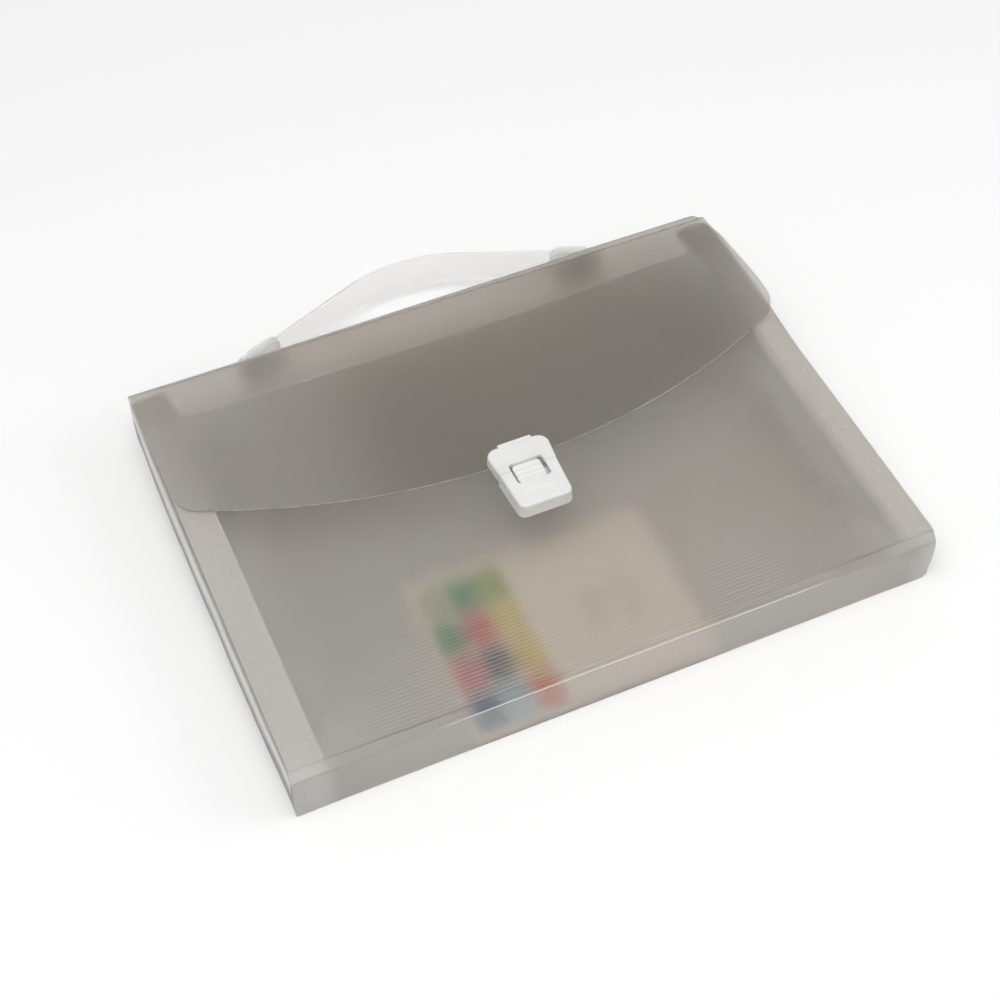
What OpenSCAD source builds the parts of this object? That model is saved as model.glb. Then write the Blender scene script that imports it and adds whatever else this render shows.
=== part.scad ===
// Flat document case of folded translucent sheet, lying on its back.
// Millimetres. Origin at the centre of the back panel's outer face, +X to the
// right, +Y towards the handle, +Z from the back panel to the front panel.

/* [Case] */
// Width across the panels
case_w = 330; // [280:1:400]
// Height from the bottom wall to the spine
case_h = 246; // [220:1:320]
// Depth from the back face to the front face
case_d = 33; // [26:0.5:50]
// Thickness of the folded sheet
sheet_t = 0.75; // [0.5:0.05:1.2]
// Reach of the bevel between the two creases of a folded edge
edge_bevel = 4.1; // [3:0.1:6]
// Clearance between a folding panel and its crease
crease_gap = 0.3; // [0.2:0.05:0.5]

/* [Front panel] */
// Width of the ear left at each side of the thumb notch
ear_w = 25; // [18:0.5:40]
// Distance from the spine down to the tops of the ears
ear_drop = 6; // [5.5:0.5:10]
// Depth of the thumb notch below the ears
notch_depth = 18; // [10:0.5:30]
// Corner radius at the tops of the ears
ear_r = 5; // [2:0.5:8]
// Corner radius at the foot of the notch
notch_r = 7; // [3:0.5:8]

/* [Flap] */
// Distance from the spine to the lowest point of the flap
flap_reach = 122; // [110:0.5:132]
// Radius of the flap's curved lower edge
flap_edge_r = 373; // [300:1:600]
// Radius of the flap's two corners
flap_corner_r = 15; // [6:0.5:25]
// Clear height between the front panel and the flap
flap_rise = 0.9; // [0.8:0.1:2]

/* [Gussets] */
// Thickness of the side gussets
gusset_t = 0.5; // [0.3:0.05:0.8]
// Width of the flanges welded to the panels
flange_w = 17; // [10:0.5:24]
// Outward bulge of the middle fold
gusset_bulge = 2.4; // [0.5:0.1:4]
// Radius of a weld spot
spot_r = 0.9; // [0.5:0.1:1.5]
// Height of a weld spot
spot_h = 0.15; // [0.1:0.05:0.3]
// Distance between weld spots along a row
spot_pitch = 10.6; // [6:0.1:16]
// Distance between the two rows of weld spots
spot_row_gap = 6.9; // [3.5:0.1:7]

/* [Latch] */
// Distance from the flap's lowest point down to the seam of lock and hasp
hasp_hang = 10; // [9:0.5:12]
// Length of the lock below the seam
lock_l = 23.5; // [20:0.5:30]
// Width of the lock at its foot
lock_foot_w = 29; // [26:0.5:34]
// Width of the latch at the seam
latch_w = 31; // [28:0.5:36]
// Height of the latch above the front panel
latch_rise = 8; // [7.5:0.1:10]
// Wall of the latch mouldings
latch_wall = 1.2; // [0.8:0.1:1.3]
// Radius of the lock's lower corners
lock_r = 4; // [2:0.5:6]
// Length of the hasp above the seam
hasp_l = 17; // [16:0.5:22]
// Widest width of the hasp
hasp_w = 33.4; // [30:0.2:38]
// Radius of the hasp's upper corners
hasp_r = 6; // [3:0.5:7]
// Bevel round the top of the latch
latch_bevel = 1; // [0.5:0.1:1.5]
// Gap between lock and hasp
seam_gap = 0.3; // [0.2:0.05:0.5]
// Thickness of the plate behind the flap
hasp_plate_t = 0.6; // [0.4:0.1:0.6]
// Thickness of the plate behind the front panel
lock_plate_t = 1.2; // [0.8:0.1:2]

/* [Button] */
// Width of the window round the button
window_w = 18; // [16:0.5:20]
// Part of the window below the seam
window_low = 8.6; // [7:0.1:10]
// Part of the window above the seam
window_high = 4.3; // [3.5:0.1:5]
// Width of the button's pad
pad_w = 14.4; // [10:0.2:15]
// Thumb ridges on the pad
ridge_count = 4; // [2:1:5]
// Height of a thumb ridge
ridge_h = 0.45; // [0.2:0.05:0.6]
// Travel of the button
button_travel = 2.5; // [1.5:0.1:3]

/* [Handle] */
// Distance between the two end bosses
handle_span = 202; // [180:1:230]
// Width of the strap
strap_w = 20; // [14:0.5:22]
// Thickness of the strap
strap_t = 2.2; // [1.5:0.1:3]
// Height of the strap's crown above the spine
strap_rise = 39; // [37:0.5:42]
// Outer radius of the strap's crown
strap_crown_r = 93; // [90:1:110]
// Height of the boss axes above the spine
boss_lift = 4.5; // [4.5:0.1:6]
// Length of the end caps
cap_l = 20; // [14:0.5:26]
// Thickness of the end caps
cap_t = 4.8; // [4:0.1:5.4]
// Radius of the end bosses
boss_r = 3.4; // [3:0.1:4]

/* [Card] */
// Width of the loose card
card_w = 129; // [90:1:160]
// Height of the loose card
card_h = 96; // [70:1:120]
// Thickness of the card
card_t = 0.4; // [0.2:0.05:0.8]
// Distance of the card's middle from the case's middle line
card_side = -12.5; // [-30:0.5:30]

/* [Hidden] */

// Small sizes of single details.
cut_over = 1;
card_gap = 0.3;
pin_gap = 0.1;
slide_gap = 0.3;
arc_steps = 24;
arc_fine_steps = 8;
round_fn = 48;

// Sheet geometry.
half_w = case_w / 2;
half_t = sheet_t / 2;
mitre = sheet_t * (sqrt(2) - 1);
flap_z = case_d + flap_rise;
top_z = flap_z + sheet_t;
crease_back = [case_h - half_t, half_t];
crease_spine = [case_h - half_t, top_z - half_t - edge_bevel];
crease_flap = [case_h - half_t - edge_bevel, top_z - half_t];
fold_reach = half_t + crease_gap;
ear_top = case_h - ear_drop;
notch_y = ear_top - notch_depth;
panel_foot = edge_bevel + mitre;
bevel_foot = case_d - panel_foot;

// Gusset geometry.
flange_z = case_d - sheet_t;
ridge_z = case_d / 2;
spot_mid = half_w - flange_w / 2;
spot_foot = panel_foot + spot_pitch / 3;
spot_count = floor((ear_top - ear_r - spot_foot - spot_row_gap) / spot_pitch);

// Latch geometry, with heights above the front panel.
seam_y = case_h - flap_reach - hasp_hang;
lock_foot = seam_y - lock_l;
hasp_top = seam_y + hasp_l;
ceiling = latch_rise - latch_wall;
pad_top = ceiling - slide_gap - ridge_h;
pad_l = window_low + window_high - 2 * slide_gap;
pad_foot = seam_y - window_low + slide_gap;
carriage_w = window_w + 4 * latch_wall;
carriage_t = 2;
carriage_z = latch_rise / 3;
nose_l = 1.6;
nose_w = pad_w * 2 / 3;
catch_y = pad_foot + pad_l + nose_l + slide_gap;
catch_w = window_w + 2 * latch_wall;
hasp_foot_z = flap_rise - hasp_plate_t;
hasp_pin_r = 1.5;
hasp_pin_x = hasp_w / 2 - 2 * latch_wall - 2 * hasp_pin_r;
hasp_plate_l = 2 * latch_wall + 2 * hasp_pin_r;
hasp_pin_y = hasp_top - latch_wall - hasp_plate_l / 2;
lock_pin_r = 1.8;
lock_pin_x = lock_foot_w / 2 - latch_wall - 2 * lock_pin_r;
lock_pin_y = lock_foot + latch_wall + 2 * lock_pin_r;
bar_w = window_w;
bar_l = 2.4;
bar_out = 0.6;
frame_w = 16.4;
frame_l = 8.4;
frame_rim = 1;
frame_sink = 0.35;
frame_y = lock_foot + 2 * latch_bevel;
window_r = 1.5;

// Handle geometry.
handle_z = top_z / 2;
strap_mid_r = strap_crown_r - strap_t / 2;
crown_y = case_h + strap_rise - strap_crown_r;
boss_x = handle_span / 2;
boss_y = case_h + boss_lift;
boss_far = norm([boss_x, boss_y - crown_y]);
strap_slope = atan2(boss_x, boss_y - crown_y) - acos(strap_mid_r / boss_far);
leg_x = strap_mid_r * sin(strap_slope);
leg_l = (boss_x - leg_x) / cos(strap_slope);
cap_start = boss_r + slide_gap;
cap_wall = 1.5;
cap_w = strap_w + 2 * cap_wall / 2;
strap_leg_l = leg_l - cap_start - cap_wall;
base_t = 1.6;
base_out = 5;
base_l = cap_l + boss_r + base_out;
base_w = strap_w - 4 * cap_wall / 2;
plate_t = 1.5;
plate_inset = 1;
rivet_r = 1.8;
rivet_gap = base_l / 3;
base_mid = boss_x + base_out - base_l / 2;

function arc(cx, cy, r, from, to, steps) = [
    for (i = [0 : steps])
        let (a = from + (to - from) * i / steps)
        [cx + r * cos(a), cy + r * sin(a)]
];

function reversed(points) = [
    for (i = [len(points) - 1 : -1 : 0]) points[i]
];

// A half outline and its mirror image about the middle line, as one outline.
function whole(points) = concat(
    points,
    [for (at = reversed(points)) if (at[0] != 0) [-at[0], at[1]]]
);

// Shapes drawn up from the bottom wall are moved to the part's own origin.
module placed() {
    translate([0, -case_h / 2, 0]) children();
}

// Extrudes a section drawn in Y and Z across the width of the case.
module across(width) {
    rotate([90, 0, 90]) linear_extrude(height = width, center = true) children();
}

// Extrudes a section drawn in X and Z from one height of the case to another.
module along(from, to) {
    translate([0, to, 0])
        rotate([90, 0, 0])
            linear_extrude(height = to - from) children();
}

// A rod across the case at a crease, which rounds the sheet's folded edge.
module crease_rod(at) {
    translate([0, at[0], at[1]])
        rotate([0, 90, 0])
            cylinder(r = half_t, h = case_w, center = true, $fn = round_fn);
}

module pin(at, r, from, to) {
    translate([at[0], at[1], from])
        cylinder(r = r, h = to - from, $fn = round_fn);
}

// The folded sheet

module back_panel() {
    color([0.62, 0.60, 0.57, 0.6]) placed() {
        across(case_w) square([crease_back[0], sheet_t]);
        crease_rod(crease_back);
    }
}

module bottom_wall() {
    color([0.66, 0.64, 0.62, 0.6]) placed()
        along(0, sheet_t)
            polygon(whole([
                [0, sheet_t],
                [half_w, sheet_t],
                [half_w + gusset_bulge, ridge_z],
                [half_w, bevel_foot],
                [0, bevel_foot]
            ]));
}

module bottom_bevel() {
    color([0.84, 0.84, 0.82, 0.6]) placed()
        across(case_w)
            polygon([
                [0, bevel_foot],
                [0, case_d - edge_bevel],
                [edge_bevel, case_d],
                [panel_foot, case_d],
                [panel_foot, flange_z],
                [sheet_t, bevel_foot]
            ]);
}

// Half of the front panel's outline, from its middle line to the right side.
function panel_half() = concat(
    [[0, panel_foot], [half_w, panel_foot]],
    arc(half_w - ear_r, ear_top - ear_r, ear_r, 0, 90, arc_fine_steps),
    arc(half_w - ear_w + ear_r, ear_top - ear_r, ear_r, 90, 180, arc_fine_steps),
    arc(half_w - ear_w - notch_r, notch_y + notch_r, notch_r, 0, -90, arc_fine_steps),
    [[0, notch_y]]
);

module front_panel() {
    color([0.61, 0.59, 0.56, 0.6]) placed()
        difference() {
            translate([0, 0, flange_z])
                linear_extrude(height = sheet_t) polygon(whole(panel_half()));
            for (side = [-1, 1])
                pin([side * lock_pin_x, lock_pin_y], lock_pin_r + pin_gap,
                    flange_z - cut_over, case_d + cut_over);
        }
}

module spine_panel() {
    color([0.62, 0.60, 0.57, 0.6]) placed()
        difference() {
            union() {
                across(case_w)
                    translate([case_h - sheet_t, crease_back[1] + fold_reach])
                        square([
                            sheet_t,
                            crease_spine[1] - crease_back[1] - fold_reach
                        ]);
                crease_rod(crease_spine);
            }
            for (side = [-1, 1])
                handle_rivets(side, rivet_r + pin_gap,
                              case_h - sheet_t - cut_over, case_h + cut_over);
        }
}

module spine_bevel() {
    color([0.80, 0.80, 0.78, 0.6]) placed() {
        across(case_w)
            translate(crease_spine)
                rotate(135)
                    translate([fold_reach, -half_t])
                        square([edge_bevel * sqrt(2) - fold_reach, sheet_t]);
        crease_rod(crease_flap);
    }
}

// The flap's outline, with a bowed lower edge blended into both sides.
function flap_outline() =
    let (
        bow_y = case_h - flap_reach + flap_edge_r,
        corner_x = half_w - flap_corner_r,
        inner_r = flap_edge_r - flap_corner_r,
        corner_y = bow_y - sqrt(inner_r * inner_r - corner_x * corner_x),
        turn = atan2(corner_y - bow_y, corner_x),
        top_y = crease_flap[0] - fold_reach
    )
    concat(
        [[half_w, top_y]],
        arc(corner_x, corner_y, flap_corner_r, 0, turn, arc_fine_steps),
        arc(0, bow_y, flap_edge_r, turn, -180 - turn, arc_steps * 2),
        arc(-corner_x, corner_y, flap_corner_r, -180 - turn, -180, arc_fine_steps),
        [[-half_w, top_y]]
    );

module flap_panel() {
    color([0.52, 0.50, 0.47, 0.6]) placed()
        difference() {
            translate([0, 0, flap_z])
                linear_extrude(height = sheet_t) polygon(flap_outline());
            for (side = [-1, 1])
                pin([side * hasp_pin_x, hasp_pin_y], hasp_pin_r + pin_gap,
                    flap_z - cut_over, top_z + cut_over);
        }
}

// The side gussets

module gusset_leaf(side, z_flat) {
    placed()
        along(sheet_t, ear_top)
            polygon([
                [side * half_w, z_flat],
                [side * (half_w + gusset_bulge), ridge_z],
                [side * (half_w + gusset_bulge - gusset_t), ridge_z],
                [side * (half_w - gusset_t), z_flat]
            ]);
}

module gusset_flange(side, z_low, from) {
    placed()
        along(from, ear_top - ear_r)
            translate([side * (half_w - gusset_t / 2 - flange_w / 2), z_low])
                translate([-(flange_w - gusset_t) / 2, 0])
                    square([flange_w - gusset_t, gusset_t]);
}

module gusset_front_flange(side) {
    color([0.74, 0.72, 0.69, 0.6])
        gusset_flange(side, flange_z - gusset_t, panel_foot);
}

module gusset_front_leaf(side) {
    color([0.84, 0.84, 0.82, 0.6])
        difference() {
            gusset_leaf(side, flange_z);
            // Cut back to the inside of the bottom bevel
            placed()
                across(case_w + 4 * gusset_bulge)
                    polygon([
                        [0, bevel_foot],
                        [sheet_t, bevel_foot],
                        [panel_foot, flange_z],
                        [panel_foot, case_d],
                        [0, case_d]
                    ]);
        }
}

module gusset_back_leaf(side) {
    color([0.70, 0.69, 0.66, 0.6]) gusset_leaf(side, sheet_t);
}

module gusset_back_flange(side) {
    color([0.74, 0.72, 0.69, 0.6]) gusset_flange(side, sheet_t, sheet_t);
}

// Two rows of weld spots, closed at the foot by a group of five.
module weld_spots(side, z_low) {
    placed() {
        for (row = [-1, 1]) {
            pin([side * (spot_mid + row * spot_row_gap / 2), spot_foot],
                spot_r, z_low, z_low + spot_h);
            for (i = [0 : spot_count])
                pin([
                    side * (spot_mid + row * spot_row_gap / 2),
                    spot_foot + spot_row_gap + i * spot_pitch
                ], spot_r, z_low, z_low + spot_h);
        }
        pin([side * spot_mid, spot_foot + spot_row_gap / 2],
            spot_r, z_low, z_low + spot_h);
    }
}

module front_welds(side) {
    color([0.45, 0.44, 0.42]) weld_spots(side, case_d);
}

module back_welds(side) {
    color([0.45, 0.44, 0.42]) weld_spots(side, sheet_t + gusset_t);
}

// The latch

// Half outlines of the latch, from the middle line to the right side.
function lock_half(inset) = concat(
    [[0, lock_foot + inset]],
    arc(lock_foot_w / 2 - lock_r, lock_foot + lock_r, lock_r - inset,
        -90, 0, arc_fine_steps),
    [[latch_w / 2 - inset, seam_y - seam_gap / 2], [0, seam_y - seam_gap / 2]]
);

function hasp_half(inset) = concat(
    [[0, seam_y + seam_gap / 2], [latch_w / 2 - inset, seam_y + seam_gap / 2]],
    arc(hasp_w / 2 - hasp_r, hasp_top - hasp_r, hasp_r - inset,
        0, 90, arc_fine_steps),
    [[0, hasp_top - inset]]
);

// A moulding with upright sides and a bevelled top, above the front panel.
module lock_shell(inset, bevel, from, to) {
    translate([0, 0, case_d + from])
        linear_extrude(height = to - bevel - from) polygon(whole(lock_half(inset)));
    hull() {
        translate([0, 0, case_d + to - bevel])
            linear_extrude(height = bevel / 100) polygon(whole(lock_half(inset)));
        translate([0, 0, case_d + to - bevel / 100])
            linear_extrude(height = bevel / 100)
                polygon(whole(lock_half(inset + bevel)));
    }
}

module hasp_shell(inset, bevel, from, to) {
    translate([0, 0, case_d + from])
        linear_extrude(height = to - bevel - from) polygon(whole(hasp_half(inset)));
    hull() {
        translate([0, 0, case_d + to - bevel])
            linear_extrude(height = bevel / 100) polygon(whole(hasp_half(inset)));
        translate([0, 0, case_d + to - bevel / 100])
            linear_extrude(height = bevel / 100)
                polygon(whole(hasp_half(inset + bevel)));
    }
}

// Half outline of the window round the button.
function window_half() = concat(
    [[0, seam_y - window_low]],
    arc(window_w / 2 - window_r, seam_y - window_low + window_r, window_r,
        -90, 0, arc_fine_steps),
    arc(window_w / 2 - window_r, seam_y + window_high - window_r, window_r,
        0, 90, arc_fine_steps),
    [[0, seam_y + window_high]]
);

// The window, cut through the tops of lock and hasp.
module window(from, to) {
    translate([0, 0, case_d + from])
        linear_extrude(height = to - from) polygon(whole(window_half()));
}

module hasp() {
    color([0.93, 0.93, 0.92]) placed() {
        difference() {
            hasp_shell(0, latch_bevel, flap_rise + sheet_t, latch_rise);
            translate([0, seam_y, case_d + flap_rise])
                linear_extrude(height = ceiling - flap_rise)
                    translate([-hasp_w / 2 + latch_wall * 2, -cut_over])
                        square([
                            hasp_w - 4 * latch_wall,
                            hasp_l - hasp_plate_l - latch_wall + cut_over
                        ]);
            window(flap_rise, latch_rise + cut_over);
        }
        // Catch behind the button's nose
        translate([-catch_w / 2, catch_y, case_d + carriage_z])
            cube([catch_w, latch_wall, ceiling - carriage_z]);
        // Pressed bar along the upper edge
        translate([-bar_w / 2, hasp_top - bar_l + bar_out, case_d + ceiling])
            cube([bar_w, bar_l, latch_wall + ridge_h]);
        for (side = [-1, 1])
            pin([side * hasp_pin_x, hasp_pin_y], hasp_pin_r,
                case_d + hasp_foot_z, flap_z + sheet_t);
    }
}

module hasp_plate() {
    color([0.90, 0.90, 0.89]) placed()
        difference() {
            translate([
                -hasp_w / 2 + 2 * latch_wall,
                hasp_pin_y - hasp_plate_l / 2,
                case_d + hasp_foot_z
            ])
                cube([hasp_w - 4 * latch_wall, hasp_plate_l, hasp_plate_t]);
            for (side = [-1, 1])
                pin([side * hasp_pin_x, hasp_pin_y], hasp_pin_r + pin_gap,
                    case_d, flap_z + cut_over);
        }
}

module lock_body() {
    color([0.93, 0.93, 0.92]) placed() {
        difference() {
            lock_shell(0, latch_bevel, 0, latch_rise);
            // Room for the button's carriage and its travel
            translate([
                -carriage_w / 2 - slide_gap,
                seam_y - window_low - latch_wall - button_travel - slide_gap,
                case_d
            ])
                cube([
                    carriage_w + 2 * slide_gap,
                    window_low + latch_wall + button_travel + slide_gap + cut_over,
                    ceiling
                ]);
            window(0, latch_rise + cut_over);
            // Sunk frame below the window
            translate([-frame_w / 2, frame_y, case_d + latch_rise - frame_sink])
                difference() {
                    cube([frame_w, frame_l, frame_sink + cut_over]);
                    translate([frame_rim, frame_rim, -cut_over])
                        cube([
                            frame_w - 2 * frame_rim,
                            frame_l - 2 * frame_rim,
                            frame_sink + 2 * cut_over
                        ]);
                }
        }
        for (side = [-1, 1])
            pin([side * lock_pin_x, lock_pin_y], lock_pin_r,
                flange_z - lock_plate_t, case_d + latch_wall);
    }
}

module lock_plate() {
    color([0.90, 0.90, 0.89]) placed()
        difference() {
            translate([
                -lock_foot_w / 2 + latch_wall,
                lock_foot + latch_wall,
                flange_z - lock_plate_t
            ])
                cube([lock_foot_w - 2 * latch_wall, lock_l - 2 * latch_wall, lock_plate_t]);
            for (side = [-1, 1])
                pin([side * lock_pin_x, lock_pin_y], lock_pin_r + pin_gap,
                    flange_z - lock_plate_t - cut_over, flange_z + cut_over);
        }
}

module slide_button() {
    ridge_pitch = pad_l / ridge_count;
    ridge_l = ridge_pitch * 2 / 3;
    color([0.95, 0.95, 0.94]) placed() {
        // Carriage that runs under the lock's top
        translate([-carriage_w / 2, pad_foot, case_d + carriage_z])
            cube([carriage_w, seam_y - pad_foot - slide_gap, carriage_t]);
        // Pad in the window
        translate([-pad_w / 2, pad_foot, case_d + carriage_z])
            cube([pad_w, pad_l, pad_top - carriage_z]);
        for (i = [0 : ridge_count - 1])
            translate([
                0,
                pad_foot + (i + 1 / 2) * ridge_pitch,
                case_d + pad_top - ridge_l / 2 + ridge_h
            ])
                rotate([0, 90, 0])
                    cylinder(d = ridge_l, h = pad_w, center = true, $fn = round_fn);
        // Nose towards the catch
        translate([-nose_w / 2, pad_foot + pad_l - latch_wall, case_d + carriage_z])
            cube([nose_w, latch_wall + nose_l, carriage_t]);
    }
}

// The handle

module handle_rivets(side, r, from, to) {
    for (end = [-1, 1])
        translate([side * base_mid + end * rivet_gap / 2, from, handle_z])
            rotate([-90, 0, 0])
                cylinder(r = r, h = to - from, $fn = round_fn);
}

// Half of one face of the strap, from its crown to the end of a leg.
function strap_half(offset) =
    let (r = strap_mid_r + offset)
    concat(
        [[0, crown_y + r]],
        [
            for (at = arc(0, crown_y, r, 90, 90 - strap_slope, arc_steps))
                if (at[0] > strap_t / arc_steps) at
        ],
        [[
            r * sin(strap_slope) + strap_leg_l * cos(strap_slope),
            crown_y + r * cos(strap_slope) - strap_leg_l * sin(strap_slope)
        ]]
    );

// The whole of one face, from the left leg's end to the right one's.
function strap_face(offset) = concat(
    [for (at = reversed(strap_half(offset))) if (at[0] != 0) [-at[0], at[1]]],
    strap_half(offset)
);

module handle_strap() {
    color([0.91, 0.91, 0.90]) placed()
        translate([0, 0, handle_z - strap_w / 2])
            linear_extrude(height = strap_w)
                polygon(concat(
                    strap_face(strap_t / 2),
                    reversed(strap_face(-strap_t / 2))
                ));
}

// A sleeve round the strap's end, in the leg's direction.
module handle_cap(side) {
    color([0.95, 0.95, 0.94]) placed()
        translate([side * boss_x, boss_y, handle_z])
            mirror([side > 0 ? 1 : 0, 0])
                rotate(strap_slope)
                    difference() {
                        translate([cap_start, -cap_t / 2, -cap_w / 2])
                            cube([cap_l, cap_t, cap_w]);
                        translate([
                            cap_start + cap_wall - slide_gap,
                            -strap_t / 2 - pin_gap,
                            -strap_w / 2 - pin_gap
                        ])
                            cube([
                                cap_l + cut_over,
                                strap_t + 2 * pin_gap,
                                strap_w + 2 * pin_gap
                            ]);
                    }
}

module handle_base(side) {
    color([0.93, 0.93, 0.92]) placed()
        difference() {
            union() {
                translate([
                    side * base_mid - base_l / 2,
                    case_h,
                    handle_z - base_w / 2
                ])
                    cube([base_l, base_t, base_w]);
                translate([side * boss_x, boss_y, handle_z - base_w / 2])
                    cylinder(r = boss_r, h = base_w, $fn = round_fn);
                translate([side * boss_x - boss_r, case_h, handle_z - base_w / 2])
                    cube([2 * boss_r, boss_y - case_h, base_w]);
            }
            handle_rivets(side, rivet_r + pin_gap,
                          case_h - cut_over, case_h + base_t);
        }
}

module handle_plate(side) {
    color([0.88, 0.87, 0.85]) placed() {
        translate([
            side * base_mid - base_l / 2 + plate_inset,
            case_h - sheet_t - plate_t,
            handle_z - base_w / 2 + plate_inset
        ])
            cube([base_l - 2 * plate_inset, plate_t, base_w - 2 * plate_inset]);
        handle_rivets(side, rivet_r, case_h - sheet_t - plate_t / 2, case_h + base_t);
    }
}

// The contents

module insert_card() {
    color([0.85, 0.82, 0.74]) placed()
        translate([card_side - card_w / 2, sheet_t + card_gap, sheet_t + card_gap])
            cube([card_w, card_h, card_t]);
}

back_panel();
bottom_wall();
bottom_bevel();
front_panel();
gusset_front_flange(-1);  // gusset_front_flange_left
gusset_front_leaf(-1);  // gusset_front_leaf_left
gusset_back_leaf(-1);  // gusset_back_leaf_left
gusset_back_flange(-1);  // gusset_back_flange_left
gusset_front_flange(1);  // gusset_front_flange_right
gusset_front_leaf(1);  // gusset_front_leaf_right
gusset_back_leaf(1);  // gusset_back_leaf_right
gusset_back_flange(1);  // gusset_back_flange_right
front_welds(-1);  // front_welds_left
front_welds(1);  // front_welds_right
back_welds(-1);  // back_welds_left
back_welds(1);  // back_welds_right
spine_panel();
spine_bevel();
flap_panel();
hasp();
hasp_plate();
lock_body();
lock_plate();
slide_button();
handle_strap();
handle_cap(-1);  // handle_cap_left
handle_cap(1);  // handle_cap_right
handle_base(-1);  // handle_base_left
handle_base(1);  // handle_base_right
handle_plate(-1);  // handle_plate_left
handle_plate(1);  // handle_plate_right
insert_card();
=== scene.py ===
"""Flat document case of ribbed translucent sheet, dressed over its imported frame."""

import logging
from collections.abc import Callable, Sequence
from dataclasses import dataclass, field, replace
from enum import Enum
from math import acos, atan2, cos, exp, hypot, pi, radians, sin, sqrt, tan

import bpy
from mathutils import Matrix, Vector


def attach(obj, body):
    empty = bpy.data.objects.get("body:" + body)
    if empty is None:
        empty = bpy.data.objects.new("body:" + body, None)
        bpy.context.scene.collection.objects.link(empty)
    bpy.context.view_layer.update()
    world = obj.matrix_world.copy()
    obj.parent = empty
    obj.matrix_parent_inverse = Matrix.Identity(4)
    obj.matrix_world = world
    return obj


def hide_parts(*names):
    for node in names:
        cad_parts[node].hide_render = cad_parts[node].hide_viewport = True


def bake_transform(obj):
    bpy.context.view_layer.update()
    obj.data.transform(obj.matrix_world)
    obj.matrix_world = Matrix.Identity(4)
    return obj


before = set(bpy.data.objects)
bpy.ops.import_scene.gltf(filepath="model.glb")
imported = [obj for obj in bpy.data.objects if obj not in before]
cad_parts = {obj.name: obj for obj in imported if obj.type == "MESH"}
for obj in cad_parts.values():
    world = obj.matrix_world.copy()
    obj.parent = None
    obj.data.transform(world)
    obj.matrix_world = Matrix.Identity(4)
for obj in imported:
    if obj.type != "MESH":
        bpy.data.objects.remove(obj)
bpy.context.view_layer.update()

LOG = logging.getLogger("document_case")
MM = 0.001
TURN = 2 * pi

# Measures of the folded sheet, in millimetres
HALF_W = 165.0
HALF_DEPTH = 16.5
RIB_START = 117.0
RIB_PITCH = 1.97
BEVEL_TOP = -118.75
BEVEL_FOOT = 28.75

Point = tuple[float, float]
Colour = tuple[float, float, float]
Pair = tuple[Vector, Vector]
Outline = Sequence[Point]
Piece = bpy.types.Object
Input = object
Inputs = dict[int | str, Input]


class Side(Enum):
    """The two ends of the case, by the sign of X."""

    LEFT = -1
    RIGHT = 1

    @property
    def word(self) -> str:
        """The side's name as the frame's nodes spell it."""
        return self.name.lower()


class Body(Enum):
    """The frame's moving bodies."""

    CASE = "case"
    SPINE = "spine"
    BEVEL = "bevel"
    FLAP = "flap"
    BUTTON = "button"
    STRAP = "strap"
    CARD = "card"


# Shading


class Graph:
    """The nodes of one material or world."""

    def __init__(self, tree: bpy.types.NodeTree) -> None:
        """Clears a node tree and keeps it."""
        self.tree = tree
        self.tree.nodes.clear()

    def add(
        self, kind: str, inputs: Inputs | None = None, output: int | str = 0, **settings: Input
    ) -> "Value":
        """Adds a node and wraps one of its outputs.

        Args:
            kind: The node's type, without its ShaderNode prefix.
            inputs: Numbers, colours or Values by socket name or index.
            output: The output's name or index; a material's output node has none.
            **settings: Properties that are set before the inputs.

        Returns:
            The wrapped output.
        """
        made = self.tree.nodes.new("ShaderNode" + kind)
        for name, setting in settings.items():
            setattr(made, name, setting)
        for name, given in (inputs or {}).items():
            socket = made.inputs[name]
            if isinstance(given, Value):
                self.tree.links.new(given.socket, socket)
            elif isinstance(given, tuple) and socket.type == "RGBA":
                socket.default_value = (*given, 1.0)
            else:
                socket.default_value = given
        return Value(self, made.outputs[output] if made.outputs else None)

    def place(self) -> tuple["Value", ...]:
        """The point being shaded, in millimetres of the part's own frame."""
        split = self.add("SeparateXYZ", {0: self.add("TexCoord", output="Object")})
        return tuple(Value(self, socket) * 1000.0 for socket in split.socket.node.outputs)

    def noise(self, scale: float, detail: float = 2.0, rough: float = 0.5) -> "Value":
        """Noise round one half over the part's own frame; its scale is per metre.

        Args:
            scale: How many waves go into a metre.
            detail: How many finer octaves it has.
            rough: How strong each finer octave is.

        Returns:
            The noise.
        """
        at = self.add("TexCoord", output="Object")
        inputs = {"Vector": at, "Scale": scale, "Detail": detail, "Roughness": rough}
        return self.add("TexNoise", inputs)

    def mix(self, share: Input, low: Input, high: Input) -> "Value":
        """Mixes two colours; a share of 1 gives the second."""
        return self.add("Mix", {0: share, 6: low, 7: high}, 2, data_type="RGBA")

    def plastic(
        self,
        surface: tuple[Input, Input],
        relief: tuple["Value", float],
        clarity: float = 0.0,
        ior: float = 1.5,
    ) -> "Value":
        """A solid body.

        Args:
            surface: Its base colour and roughness.
            relief: Its relief from 0 to 1, and what 1 stands for, in millimetres.
            clarity: Share of light that passes.
            ior: Its index of refraction.

        Returns:
            The shader.
        """
        bump = {"Strength": 1.0, "Distance": relief[1] * MM, "Height": relief[0]}
        inputs = {
            "Base Color": surface[0],
            "Roughness": surface[1],
            "IOR": ior,
            "Transmission Weight": clarity,
            "Normal": self.add("Bump", bump),
        }
        return self.add("BsdfPrincipled", inputs)


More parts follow.
